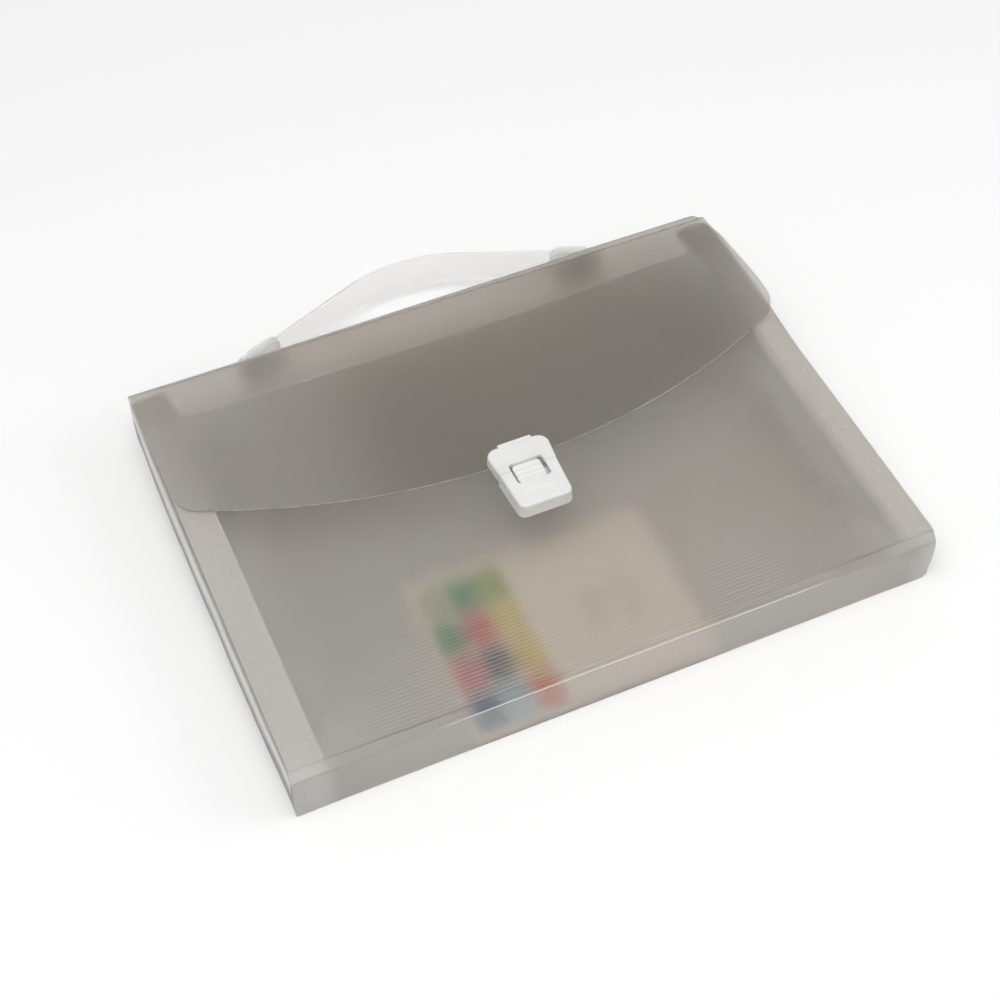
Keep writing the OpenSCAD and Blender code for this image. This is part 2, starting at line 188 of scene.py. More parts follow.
def math_method(operation: str, swapped: bool = False) -> Callable[["Value", Input], "Value"]:
    """A method of Value that adds a Math node over it and another term.

    Args:
        operation: The Math node's operation.
        swapped: Whether the other term comes first.

    Returns:
        The method.
    """

    def method(value: "Value", other: Input) -> "Value":
        """The node's result; a swapped operation takes the other term first."""
        terms = (other, value) if swapped else (value, other)
        return value.graph.add("Math", dict(enumerate(terms)), operation=operation)

    return method


class Value:
    """An output in a graph; as a number, its arithmetic adds Math nodes."""

    def __init__(self, graph: Graph, socket: bpy.types.NodeSocket | None) -> None:
        """Wraps a socket of that graph."""
        self.graph, self.socket = graph, socket

    __add__ = __radd__ = math_method("ADD")
    __mul__ = __rmul__ = math_method("MULTIPLY")
    __sub__ = math_method("SUBTRACT")
    __rsub__ = math_method("SUBTRACT", swapped=True)
    most = math_method("MAXIMUM")

    def __abs__(self) -> "Value":
        """The size of self."""
        return self.graph.add("Math", {0: self}, operation="ABSOLUTE")

    def cos(self) -> "Value":
        """The cosine of self."""
        return self.graph.add("Math", {0: self}, operation="COSINE")

    def step(self, start: float, end: float) -> "Value":
        """A smooth step from 0 at start to 1 at end, which may be the lower one.

        Args:
            start: The number at which it is 0.
            end: The number at which it is 1.

        Returns:
            The step.
        """
        low, high = sorted((start, end))
        inputs = {"Value": self, "From Min": low, "From Max": high}
        risen = self.graph.add("MapRange", inputs, interpolation_type="SMOOTHSTEP")
        return risen if start < end else 1.0 - risen


@dataclass(frozen=True)
class Finish:
    """A surface finish; each kind builds its own nodes."""

    name: str

    def material(self) -> bpy.types.Material:
        """The finish as a material, made once.

        Returns:
            The material.
        """
        name = "finish_" + self.name
        made = bpy.data.materials.get(name)
        if made is None:
            made = bpy.data.materials.new(name)
            made.use_nodes = True
            graph = Graph(made.node_tree)
            graph.add("OutputMaterial", {"Surface": self.shade(graph)})
        return made

    def shade(self, graph: Graph) -> Value:
        """The shader of the finish."""
        raise NotImplementedError


@dataclass(frozen=True)
class FrostedSheet(Finish):
    """Translucent polypropylene: it lets light through and blurs what is behind it."""

    tint: Colour = (0.760, 0.752, 0.731)
    warm: Colour = (0.772, 0.752, 0.727)
    # The dull grey paints shade; the milky layer paints highlights and light, and real milk.
    dull: Colour = (0.30, 0.295, 0.28)
    milk: Colour = (0.945, 0.925, 0.90)
    clarity: float = 0.985
    milk_clarity: float = 0.1
    roughness: float = 0.42
    ior: float = 1.33
    grain: float = 0.004

    def shade(self, graph: Graph) -> Value:
        """Rough glass with a drift of its grey, darkened by painted shade, with a milky layer
        over it.

        Args:
            graph: The material's nodes.

        Returns:
            The surface's shader.
        """
        drift, speck = graph.noise(9.0), graph.noise(1400.0)
        colour = graph.mix(drift.step(0.38, 0.62), self.tint, self.warm)
        painted_shade, milk_and_highlight = self.painted_shade(graph), self.milk_and_highlight(graph)
        # Painted shade: a mix towards the dull grey.
        if painted_shade is not None:
            colour = graph.mix(painted_shade, colour, self.dull)
        clear = self._layer(graph, colour, speck, self.clarity)
        if milk_and_highlight is None:
            return clear
        # The milky layer: painted highlights and light, and the real milk of welded film and
        # pressed lines.
        milky = self._layer(graph, self.milk, speck, self.milk_clarity)
        return graph.add("MixShader", {0: milk_and_highlight, 1: clear, 2: milky})

    def _layer(self, graph: Graph, colour: Input, speck: Value, clarity: float) -> Value:
        """One body of the sheet, with a fine grain."""
        surface = (colour, self.roughness + 0.05 * (speck - 0.5))
        return graph.plastic(surface, (speck, self.grain), clarity, self.ior)

    def milk_and_highlight(self, graph: Graph) -> Value | None:
        """The milky layer's share, for painted highlights and real milk; none on a plain sheet.
        """
        return None

    def painted_shade(self, graph: Graph) -> Value | None:
        """Where painted shade darkens the sheet; nowhere on a plain sheet."""
        return None


def rib_wave(run: Value) -> Value:
    """The ribs' wave over a length of sheet: 1 on a crest, -1 in a valley."""
    return (run * (TURN / RIB_PITCH)).cos()


@dataclass(frozen=True)
class CreasedSheet(FrostedSheet):
    """The ribbed sheet, with painted light and shade at the bottom's double crease and its
    ribs.
    """

    rule_pitch: float = 1.37

    def milk_and_highlight(self, graph: Graph) -> Value:
        """Pale ends of bevel and wall, painted highlights along the bevel's foot and on the
        ribs.

        Args:
            graph: The material's nodes.

        Returns:
            The milky layer's share, from 0 to 1.
        """
        x, y, z = graph.place()
        left = 0.0 - x
        ends = 0.14 * left.step(50, 130) + 0.44 * left.step(136, 160)
        ends = ends + 0.08 * x.step(60, 100) + 0.33 * x.step(124, 160)
        lines = 0.75 + 0.25 * ((z - BEVEL_FOOT) * (TURN / self.rule_pitch)).cos()
        strip = self._below(y) * z.step(BEVEL_FOOT - 0.2, BEVEL_FOOT + 0.3) * ends * lines
        # A thin painted highlight along the bevel's foot.
        edge = abs(z - (BEVEL_FOOT + 0.25)).step(0.24, 0.06) * y.step(-122.0, -122.5)
        edge = 0.85 * edge * left.step(120, 60) * x.step(120, 85)
        wall = y.step(-122.0, -122.5) * z.step(28.6, 28.0)
        wall = wall * (0.26 * left.step(141, 152) + 0.36 * x.step(148, 165))
        return strip.most(edge).most(wall).most(self._ridges(x, y, z))

    def painted_shade(self, graph: Graph) -> Value:
        """Painted shade along both creases and in the valleys between the ribs.

        Args:
            graph: The material's nodes.

        Returns:
            The dull grey's share, from 0 to 1.
        """
        x, y, z = graph.place()
        ends = (0.0 - x).step(40, 110).most(x.step(95, 140))
        # Painted shade: dark lines along the upper and lower crease.
        upper = abs(y - BEVEL_TOP).step(0.42, 0.12) * z.step(30, 30.5) * ends
        lower = abs(z - (BEVEL_FOOT - 0.35)).step(0.36, 0.12) * y.step(-122.0, -122.3)
        # Painted shade in the rib valleys.
        valley_shade = self._wave(y).step(0.0, -0.9) * self._rib_light_zone(x, y, z)
        return (0.7 * upper).most(0.7 * lower).most(0.13 * valley_shade)

    @staticmethod
    def _below(y: Value) -> Value:
        """1 on the bevel and the wall, 0 on the panel above its crease."""
        return y.step(BEVEL_TOP + 0.4, BEVEL_TOP - 0.2)

    @staticmethod
    def _above(y: Value) -> Value:
        """1 on the panel and 0 below its crease."""
        return y.step(BEVEL_TOP - 0.2, BEVEL_TOP + 0.4)

    @staticmethod
    def _wave(y: Value) -> Value:
        """The ribs' wave along the panel and down the bevel."""
        return rib_wave((RIB_START - y) + 0.41 * (BEVEL_TOP - y).most(0.0))

    def _rib_light_zone(self, x: Value, y: Value, z: Value) -> Value:
        """Where the ribs' painted light and shade show: the lower part and the bevel's middle.

        Args:
            x: Place across the case.
            y: Place from bottom to spine.
            z: Height.

        Returns:
            1 where they show in full and 0 where they don't.
        """
        left = 0.0 - x
        panel = y.step(-50, -105) * left.step(150, 100) * x.step(140, 70) * self._above(y)
        bevel = self._below(y) * left.step(75, 35) * x.step(110, 80)
        return z.step(28.9, 29.4) * panel.most(bevel)

    def _ridges(self, x: Value, y: Value, z: Value) -> Value:
        """Painted highlights on the rib crests, and painted light in the lower corners and by
        the flanges.

        Args:
            x: Place across the case.
            y: Place from bottom to spine.
            z: Height.

        Returns:
            The milky layer's share, from 0 to 1.
        """
        # Painted light in the panel's lower corners and beside the flanges.
        painted_light = abs(x).step(105, 148) * y.step(-70, -117)
        lit_beside_flange = abs(x).step(122, 149) * y.step(40, 0)
        painted_light = painted_light.most(0.7 * lit_beside_flange) * z.step(29.5, 30.0) * self._above(y)
        # Painted highlights on the rib crests.
        crest = self._wave(y).step(0.1, 0.95) * self._rib_light_zone(x, y, z)
        return 0.15 * crest + 0.14 * painted_light


@dataclass(frozen=True)
class CreaseStrip(FrostedSheet):
    """The narrow strip between the spine's double crease."""

    rule_pitch: float = 1.3

    def milk_and_highlight(self, graph: Graph) -> Value:
        """Fine parallel lines that the folding rule pressed in."""
        _, _, z = graph.place()
        return 0.05 + 0.17 * (0.5 + 0.5 * ((z - 30.2) * (TURN / self.rule_pitch)).cos())


@dataclass(frozen=True)
class FlapFinish(FrostedSheet):
    """The flap's sheet, with painted light towards its edges and painted shade at its crease.
    """

    def milk_and_highlight(self, graph: Graph) -> Value:
        """Painted light towards both edges, with painted highlights on the ribs' crests.

        Args:
            graph: The material's nodes.

        Returns:
            The milky layer's share, from 0 to 1.
        """
        x, y, _ = graph.place()
        left = 0.0 - x
        # Painted light towards both edges.
        painted_light = 0.09 * left.step(40, 120) + 0.09 * left.step(135, 164)
        painted_light = (0.05 * x.step(115, 160)).most(painted_light)
        # Where the painted highlights on the rib crests go, on the lower flap.
        crest_light_zone = (left.step(20, 90) + x.step(110, 150)) * y.step(96, 90)
        return painted_light + 0.05 * rib_wave(RIB_START - y).step(-0.2, 0.95) * crest_light_zone

    def painted_shade(self, graph: Graph) -> Value:
        """Painted shade, a little brown, along the crease where the sheet starts to bend."""
        _, y, _ = graph.place()
        # Painted shade along the crease.
        return 0.07 * y.step(92, 98)


@dataclass(frozen=True)
class SideFilm(FrostedSheet):
    """The folding film: a painted highlight on its upper leaf and painted shade on its lower
    leaf.
    """

    ridge: float = 20.5

    def milk_and_highlight(self, graph: Graph) -> Value:
        """A painted highlight between the ridge and the front flange's fold."""
        _, _, z = graph.place()
        # Painted highlight on the upper leaf.
        return 0.68 * z.step(self.ridge + 0.5, self.ridge + 5.0) * z.step(30.4, 28.6)

    def painted_shade(self, graph: Graph) -> Value:
        """Painted shade below the ridge, and a dark line of painted shade along both flanges'
        folds.

        Args:
            graph: The material's nodes.

        Returns:
            The dull grey's share, from 0 to 1.
        """
        _, _, z = graph.place()
        # Painted shade along both folds and below the ridge.
        fold = z.step(30.7, 31.4).most(z.step(2.4, 1.6))
        return (0.35 * fold).most(0.55 * z.step(self.ridge + 2.0, self.ridge - 3.0))


@dataclass(frozen=True)
class WeldedFilm(FrostedSheet):
    """The film where it is welded to a panel; on the right its free lip stays clear."""

    def milk_and_highlight(self, graph: Graph) -> Value:
        """Milky over the weld."""
        x, _, _ = graph.place()
        return (0.0 - x).step(146, 147).most(0.97 * x.step(144, 155))


@dataclass(frozen=True)
class CutEdge(Finish):
    """The sheared edge of a sheet, paler than its faces where the blade whitened it; its dashes
    are painted highlight.
    """

    pale: Colour = (0.82, 0.82, 0.80)
    dull: Colour = (0.52, 0.51, 0.49)
    clarity: float = 0.35

    def shade(self, graph: Graph) -> Value:
        """Milky plastic with short pale dashes of painted highlight, scattered by noise.

        Args:
            graph: The material's nodes.

        Returns:
            The surface's shader.
        """
        scuff_and_glint = graph.noise(260.0, 3.0, 0.7)
        # Pale dashes of painted highlight.
        colour = graph.mix(scuff_and_glint.step(0.42, 0.56), self.dull, self.pale)
        return graph.plastic((colour, 0.30 + 0.2 * scuff_and_glint), (scuff_and_glint, 0.02), self.clarity)


@dataclass(frozen=True)
class Moulding(Finish):
    """Injection-moulded plastic with a fine spark-eroded grain."""

    colour: Colour = (0.86, 0.86, 0.85)
    smudged: Colour = (0.80, 0.80, 0.785)
    roughness: float = 0.32
    clarity: float = 0.0
    ior: float = 1.5

    def shade(self, graph: Graph) -> Value:
        """Satin plastic, a little smudged in broad patches.

        Args:
            graph: The material's nodes.

        Returns:
            The surface's shader.
        """
        grain, smudge = graph.noise(5200.0), graph.noise(70.0, 3.0)
        colour = graph.mix(smudge.step(0.35, 0.75), self.colour, self.smudged)
        surface = (colour, self.roughness + 0.10 * (smudge - 0.5))
        return graph.plastic(surface, (grain, 0.004), self.clarity, self.ior)


@dataclass(frozen=True)
class PrintedCard(Finish):
    """Uncoated card with a panel of printed colour swatches at one end."""

    paper: Colour = (0.90, 0.82, 0.725)
    rule: Colour = (0.35, 0.35, 0.34)
    left: float = -73.0
    foot: float = -117.5
    pitch_x: float = 15.5
    pitch_y: float = 21.5
    corner: float = 2.2
    swatches: tuple[tuple[Colour, ...], ...] = (
        ((0.12, 0.21, 0.33), (0.46, 0.63, 0.72), (0.74, 0.20, 0.14)),
        ((0.66, 0.20, 0.25), (0.08, 0.10, 0.14), (0.76, 0.55, 0.14)),
        ((0.13, 0.32, 0.18), (0.68, 0.14, 0.16), (0.75, 0.63, 0.20)),
        ((0.57, 0.54, 0.46), (0.15, 0.37, 0.23), (0.38, 0.46, 0.16)),
    )

    def shade(self, graph: Graph) -> Value:
        """Paper with rows of round-cornered swatches and two grey rules beside them.

        Args:
            graph: The material's nodes.

        Returns:
            The surface's shader.
        """
        x, y, _ = graph.place()
        fibre = graph.noise(900.0, 4.0, 0.65)
        aged = tuple(0.94 * c for c in self.paper)
        colour = graph.mix(fibre.step(0.3, 0.7), self.paper, aged)
        half = (self.pitch_x * 0.47, self.pitch_y * 0.46)
        for row, line in enumerate(self.swatches):
            for column, ink in enumerate(line):
                mid_x = self.left + (column + 0.5) * self.pitch_x
                mid_y = self.foot + (row + 0.5) * self.pitch_y
                colour = graph.mix(self._patch(x - mid_x, y - mid_y, half), colour, ink)
        for at in (6.0, 24.0):
            patch = self._patch(x - at, y - -74.0, (3.0, 12.0))
            colour = graph.mix(patch * 0.45, colour, self.rule)
        return graph.plastic((colour, 0.75 + 0.1 * fibre), (fibre, 0.02))

    def _patch(self, off_x: Value, off_y: Value, half: Point) -> Value:
        """1 inside a round-cornered patch of that half size and 0 outside it.

        Args:
            off_x: Distance from its middle across the card.
            off_y: Distance from its middle along the card.
            half: Half of its size, both ways.

        Returns:
            The mask.
        """
        out_x, out_y = (
            (abs(off) - (reach - self.corner)).most(0.0)
            for off, reach in ((off_x, half[0]), (off_y, half[1]))
        )
        away = out_x * out_x + out_y * out_y
        return away.step(1.1 * self.corner**2, 0.9 * self.corner**2)


RIBBED = FrostedSheet("ribbed_sheet")
CREASED = CreasedSheet("creased_sheet")
FLAP = FlapFinish(
    "flap_sheet",
    tint=(0.678, 0.655, 0.624),
    warm=(0.69, 0.66, 0.626),
    # The dull brown is the painted shade along the flap's crease.
    dull=(0.45, 0.28, 0.12),
    clarity=0.955,
)
STRIP = CreaseStrip(
    "crease_strip", tint=(0.62, 0.605, 0.58), warm=(0.64, 0.61, 0.58), clarity=0.95
)
FILM = SideFilm("gusset_film", tint=(0.80, 0.79, 0.77), warm=(0.82, 0.79, 0.77), clarity=0.80)
WELDED = WeldedFilm(
    "welded_flange", tint=FILM.tint, warm=FILM.warm, clarity=0.90, roughness=0.45
)
FUSED = FrostedSheet(
    "fused_spots",
    tint=(0.91, 0.895, 0.87),
    warm=(0.94, 0.92, 0.90),
    clarity=0.50,
    roughness=0.3,
)
EDGE = CutEdge("cut_edge")
RIM = CutEdge("film_rim", pale=(0.96, 0.96, 0.95), dull=(0.90, 0.90, 0.88), clarity=0.0)
WHITE = Moulding("white_moulding")
SOFT_WHITE = Moulding(
    "soft_white_plastic",
    colour=(0.985, 0.982, 0.97),
    smudged=(0.975, 0.97, 0.955),
    roughness=0.45,
    clarity=0.82,
    ior=1.12,
)
SLEEVE_WHITE = replace(SOFT_WHITE, name="sleeve_white_plastic", clarity=0.55)
FOOT_WHITE = replace(
    SOFT_WHITE,
    name="clear_white_plastic",
    colour=(0.985, 0.98, 0.97),
    smudged=(0.975, 0.97, 0.96),
    clarity=0.96,
)
CARD = PrintedCard("printed_card")


# Shapes


def spread(start: float, end: float, count: int) -> list[float]:
    """Evenly spaced numbers from start to end, with that many steps between them."""
    return [start + (end - start) * i / count for i in range(count + 1)]


def arc(mid: Point, radius: float, start: float, end: float, steps: int) -> list[Point]:
    """Points on an arc from one angle to another, in degrees, both ends included."""
    turns = [radians(turn) for turn in spread(start, end, steps)]
    return [(mid[0] + radius * cos(a), mid[1] + radius * sin(a)) for a in turns]


def mirrored(half: Outline) -> list[Point]:
    """A half outline and its mirror image, as one anticlockwise outline."""
    return [*half, *[(-x, y) for x, y in reversed(half) if abs(x) > 1e-6]]


def smooth(value: float, start: float, end: float) -> float:
    """A smooth step from 0 at start to 1 at end."""
    t = min(1.0, max(0.0, (value - start) / (end - start)))
    return t * t * (3 - 2 * t)


def puff(x: float, y: float) -> float:
    """How far the case's front swells upwards near its right edge."""
    return 3.0 * smooth(x, 60.0, 115.0) * smooth(y, 12.0, 58.0) * (1.0 - smooth(y, 94.0, 117.0))


def rounded_box(
    mid: Point, width: float, height: float, radius: float, steps: int = 6
) -> list[Point]:
    """A rectangle round a middle, anticlockwise, with that many steps in each corner.

    Args:
        mid: Its middle.
        width: Its size along X.
        height: Its size along Y.
        radius: The radius of its corners.
        steps: The steps in each corner.

    Returns:
        Its points.
    """
    x, y = width / 2 - radius, height / 2 - radius
    corners = ((x, -y, -90), (x, y, 0), (-x, y, 90), (-x, -y, 180))
    return [
        point
        for cx, cy, turn in corners
        for point in arc((mid[0] + cx, mid[1] + cy), radius, turn, turn + 90, steps)
    ]


def inset(outline: Outline, distance: float) -> list[Point]:
    """Moves an anticlockwise outline inwards, with mitred corners.

    Args:
        outline: The outline's points.
        distance: How far; below zero for outwards.

    Returns:
        As many points as were given.
    """
    moved = []
    for i, (x, y) in enumerate(outline):
        before, after = outline[i - 1], outline[(i + 1) % len(outline)]
        first = Vector((x - before[0], y - before[1])).normalized()
        second = Vector((after[0] - x, after[1] - y)).normalized()
        inward = Vector((-first.y - second.y, first.x + second.x))
        share = max(0.3, 1 + first.dot(second))
        moved.append((x + inward.x * distance / share, y + inward.y * distance / share))
    return moved


def fillet(radius: float, top: float, steps: int, start: float = 0.0) -> list[Point]:
    """Insets and heights of a rounded top edge, from the wall up to the top face.

    Args:
        radius: The radius of the edge.
        top: The height of the top face.
        steps: The steps round the edge.
        start: The inset of the wall.

    Returns:
        Each layer's inset and height.
    """
    return [
        (start + radius * (1 - cos(a)), top - radius * (1 - sin(a)))
        for a in spread(0.0, pi / 2, steps)
    ]


class Mesher:
    """Collects points, in millimetres, and faces, and turns them into an object."""

    def __init__(self, name: str) -> None:
        """Starts an empty mesh of that name.

        Args:
            name: The name of the object that it becomes.
        """
        self.name = name
        self.points: list[Vector] = []
        self.faces: list[tuple[int, ...]] = []
        self.slots: list[int] = []

    def add(self, at: Sequence[float]) -> int:
        """Adds a point and returns its number."""
        self.points.append(Vector(at))
        return len(self.points) - 1

    def face(self, corners: Sequence[int], slot: int = 0) -> None:
        """Adds a face of that material, anticlockwise, without its repeated corners.

        Args:
            corners: The numbers of its points.
            slot: The number of its material.
        """
        kept = [c for i, c in enumerate(corners) if c != corners[i - 1]]
        if len(kept) > 2:
            self.faces.append(tuple(kept))
            self.slots.append(slot)

    def ring(self, outline: Outline, height: float, turn: Matrix | None = None) -> list[int]:
        """Adds an outline's points at a height, turned if it isn't straight up Z."""
        placed = (Vector((x, y, height)) for x, y in outline)
        return [self.add(turn @ at if turn else at) for at in placed]

    def bands(self, rings: Sequence[Sequence[int]]) -> None:
        """Joins each ring to the next with quads that face outwards.

        Args:
            rings: The numbers of each ring's points.
        """
        for low, high in zip(rings, rings[1:]):
            for i in range(len(low)):
                j = (i + 1) % len(low)
                self.face((low[i], low[j], high[j], high[i]))

    def loft(self, rings: Sequence[Sequence[int]]) -> None:
        """Closes a stack of rings into a solid.

        Args:
            rings: The numbers of each ring's points.
        """
        self.bands(rings)
        self.face(rings[0][::-1])
        self.face(rings[-1])

    def prism(self, outline: Outline, layers: Outline, turn: Matrix | None = None) -> "Mesher":
        """Adds a solid lofted through inset copies of one outline.

        Args:
            outline: Anticlockwise outline.
            layers: Inset and height of each copy, from the bottom up.
            turn: Where the solid goes.

        Returns:
            The mesher, for the next call.
        """
        self.loft([self.ring(inset(outline, d), h, turn) for d, h in layers])
        return self

    def slab(
        self,
        grid: Sequence[Sequence[Pair | None]],
        edges: int = 1,
        rows: Callable[[int], int] = lambda row: 0,
    ) -> None:
        """A closed sheet from pairs of outer and inner points; None leaves an opening.

        Args:
            grid: Rows of columns of pairs; seen from outside, columns run right
                as rows run down.
            edges: Material of the cut edges.
            rows: Material of both faces, by row.
        """
        outer, inner, cells = {}, {}, {}
        for r, row in enumerate(grid):
            for c, pair in enumerate(row):
                if pair is not None:
                    outer[r, c], inner[r, c] = self.add(pair[0]), self.add(pair[1])
        for r, c in outer:
            corners = ((r, c), (r + 1, c), (r + 1, c + 1), (r, c + 1))
            if all(corner in outer for corner in corners):
                cells[r, c] = corners
        for (r, c), corners in cells.items():
            self.face([outer[k] for k in corners], rows(r))
            self.face([inner[k] for k in corners[::-1]], rows(r))
            nexts = ((r, c - 1), (r + 1, c), (r, c + 1), (r - 1, c))
            for near, start, end in zip(nexts, corners, (*corners[1:], corners[0])):
                if near not in cells:
                    self.face((outer[end], outer[start], inner[start], inner[end]), edges)

    def build(self, *finishes: Finish, sharp: float = 32.0) -> Piece:
        """Makes the object, smooth but for edges sharper than an angle.

        Args:
            *finishes: One finish for each material slot.
            sharp: The angle, in degrees.

        Returns:
            The object, in metres.
        """
        mesh = bpy.data.meshes.new(self.name)
        mesh.from_pydata([p * MM for p in self.points], [], self.faces)
        mesh.polygons.foreach_set("material_index", self.slots)
        mesh.polygons.foreach_set("use_smooth", [True] * len(self.faces))
        for finish in finishes:
            mesh.materials.append(finish.material())
        mesh.validate()
        mesh.set_sharp_from_angle(angle=radians(sharp))
        made = bpy.data.objects.new(self.name, mesh)
        bpy.context.scene.collection.objects.link(made)
        return made


def moulded(
    mesh: Mesher, finish: Finish, cutters: Sequence[Mesher] = (), sharp: float = 32.0
) -> Piece:
    """Builds a moulding with flat faces beside its rounded edges.

    Args:
        mesh: Its solid shape.
        finish: Its finish.
        cutters: Closed shapes that are taken out of it, in order.
        sharp: The angle above which an edge stays sharp, in degrees.

    Returns:
        The object.
    """
    piece = mesh.build(finish)
    for cutter in cutters:
        tool = cutter.build(finish)
        modifier = piece.modifiers.new("cut", "BOOLEAN")
        modifier.operation = "DIFFERENCE"
        modifier.solver = "EXACT"
        modifier.object = tool
        seen = bpy.context.evaluated_depsgraph_get()
        result = bpy.data.meshes.new_from_object(piece.evaluated_get(seen))
        piece.modifiers.remove(modifier)
        piece.data = result
        bpy.data.objects.remove(tool)
    piece.data.polygons.foreach_set("use_smooth", [True] * len(piece.data.polygons))
    piece.data.set_sharp_from_angle(angle=radians(sharp))
    weighted = piece.modifiers.new("weighted", "WEIGHTED_NORMAL")
    weighted.keep_sharp, weighted.weight = True, 80
    return piece


# The folded sheet


@dataclass
class Station:
    """One row of a folded sheet: its middle, outward direction and place along the path."""

    y: float
    z: float
    out_y: float
    out_z: float
    run: float
    crease: float = 0.0

    def moved(self, down: float, run: float) -> "Station":
        """A copy further down, with its own place along the path."""
        return Station(self.y - down, self.z, self.out_y, self.out_z, run)


@dataclass
class Path:
    """A folded sheet's section in Y and Z, through rounded corners."""

    corners: Outline
    radius: float
    step: float = RIB_PITCH / 4
    corner_steps: int = 6

    def stations(self) -> list[Station]:
        """The section as rows, with fine steps round each corner.

        Returns:
            The rows, in order.
        """
        points = [(*self.corners[0], 0.0)]
        for before, here, after in zip(self.corners, self.corners[1:], self.corners[2:]):
            before, here, after = Vector(before), Vector(here), Vector(after)
            into, away = (here - before).normalized(), (after - here).normalized()
            turn = acos(max(-1.0, min(1.0, into.dot(away))))
            reach = self.radius * tan(turn / 2)
            start, end = here - into * reach, here + away * reach
            for t in spread(0.0, 1.0, self.corner_steps):
                point = start * (1 - t) ** 2 + here * (2 * t * (1 - t)) + end * t * t
                points.append((point.x, point.y, 1.0))
        return self._placed(self._filled([*points, (*self.corners[-1], 0.0)]))

    def _filled(self, points: Sequence[tuple[float, ...]]) -> list[tuple[float, ...]]:
        """The points with more of them along the straight runs.

        Args:
            points: Each point's y and z, and 1 in a corner or 0.

        Returns:
            The points in the same form.
        """
        filled = []
        for (y, z, mark), (next_y, next_z, next_mark) in zip(points, points[1:]):
            count = max(1, round(hypot(next_y - y, next_z - z) / self.step))
            for k in range(count):
                t = k / count
                inside = mark if k == 0 else min(mark, next_mark)
                filled.append((y + (next_y - y) * t, z + (next_z - z) * t, inside))
        return [*filled, points[-1]]

    @staticmethod
    def _placed(points: Sequence[tuple[float, ...]]) -> list[Station]:
        """The points as rows, with their outward direction and place along the path.

        Args:
            points: Each point's y and z, and 1 in a corner or 0.

        Returns:
            The rows.
        """
        run, rows = 0.0, []
        for i, (y, z, mark) in enumerate(points):
            low, high = points[max(0, i - 1)], points[min(len(points) - 1, i + 1)]
            along = Vector((high[0] - low[0], high[1] - low[1])).normalized()
            if i:
                run += hypot(y - low[0], z - low[1])
            rows.append(Station(y, z, along.y, -along.x, run, mark))
        return rows


@dataclass
class SheetWork:
    """What all panels of the folded sheet share."""

    half: float = 0.375
    crease_half: float = 0.28125
    rib: float = 0.03

    @staticmethod
    def crown(x: float) -> float:
        """How far the spine's upper crease stands above its straight line."""
        rise = 0.9 + 1.6 * smooth(x, -110.0, 60.0) + 1.2 * smooth(x, 55.0, 105.0)
        return rise * (1.0 - 0.9 * smooth(x, 158.0, 165.0) ** 2)

    def pair(self, row: Station, x: float, rib: float, lift: float = 0.0) -> Pair:
        """The outer and inner point of a sheet.

        Args:
            row: The section's row.
            x: The point's place across the case.
            rib: Share of the rib's height there.
            lift: Height above the section.

        Returns:
            The two points.
        """
        half = self.crease_half if row.crease else self.half
        wave = self.rib * rib * cos(TURN * row.run / RIB_PITCH)
        return tuple(
            Vector((x, row.y + row.out_y * d, row.z + row.out_z * d + lift))
            for d in (half - self.rib * rib + wave, -half)
        )

    def sheet(self, name: str, rows: Sequence[Station], finish: Finish) -> Piece:
        """A panel as one piece, with pale cut edges.

        Args:
            name: Its name.
            rows: The rows along its section.
            finish: The finish of its faces.

        Returns:
            The piece.
        """
        mesh = Mesher(name)
        mesh.slab([self.across(row) for row in rows])
        return mesh.build(finish, EDGE)

    def across(self, row: Station) -> list[Pair | None]:
        """The points across one row."""
        raise NotImplementedError


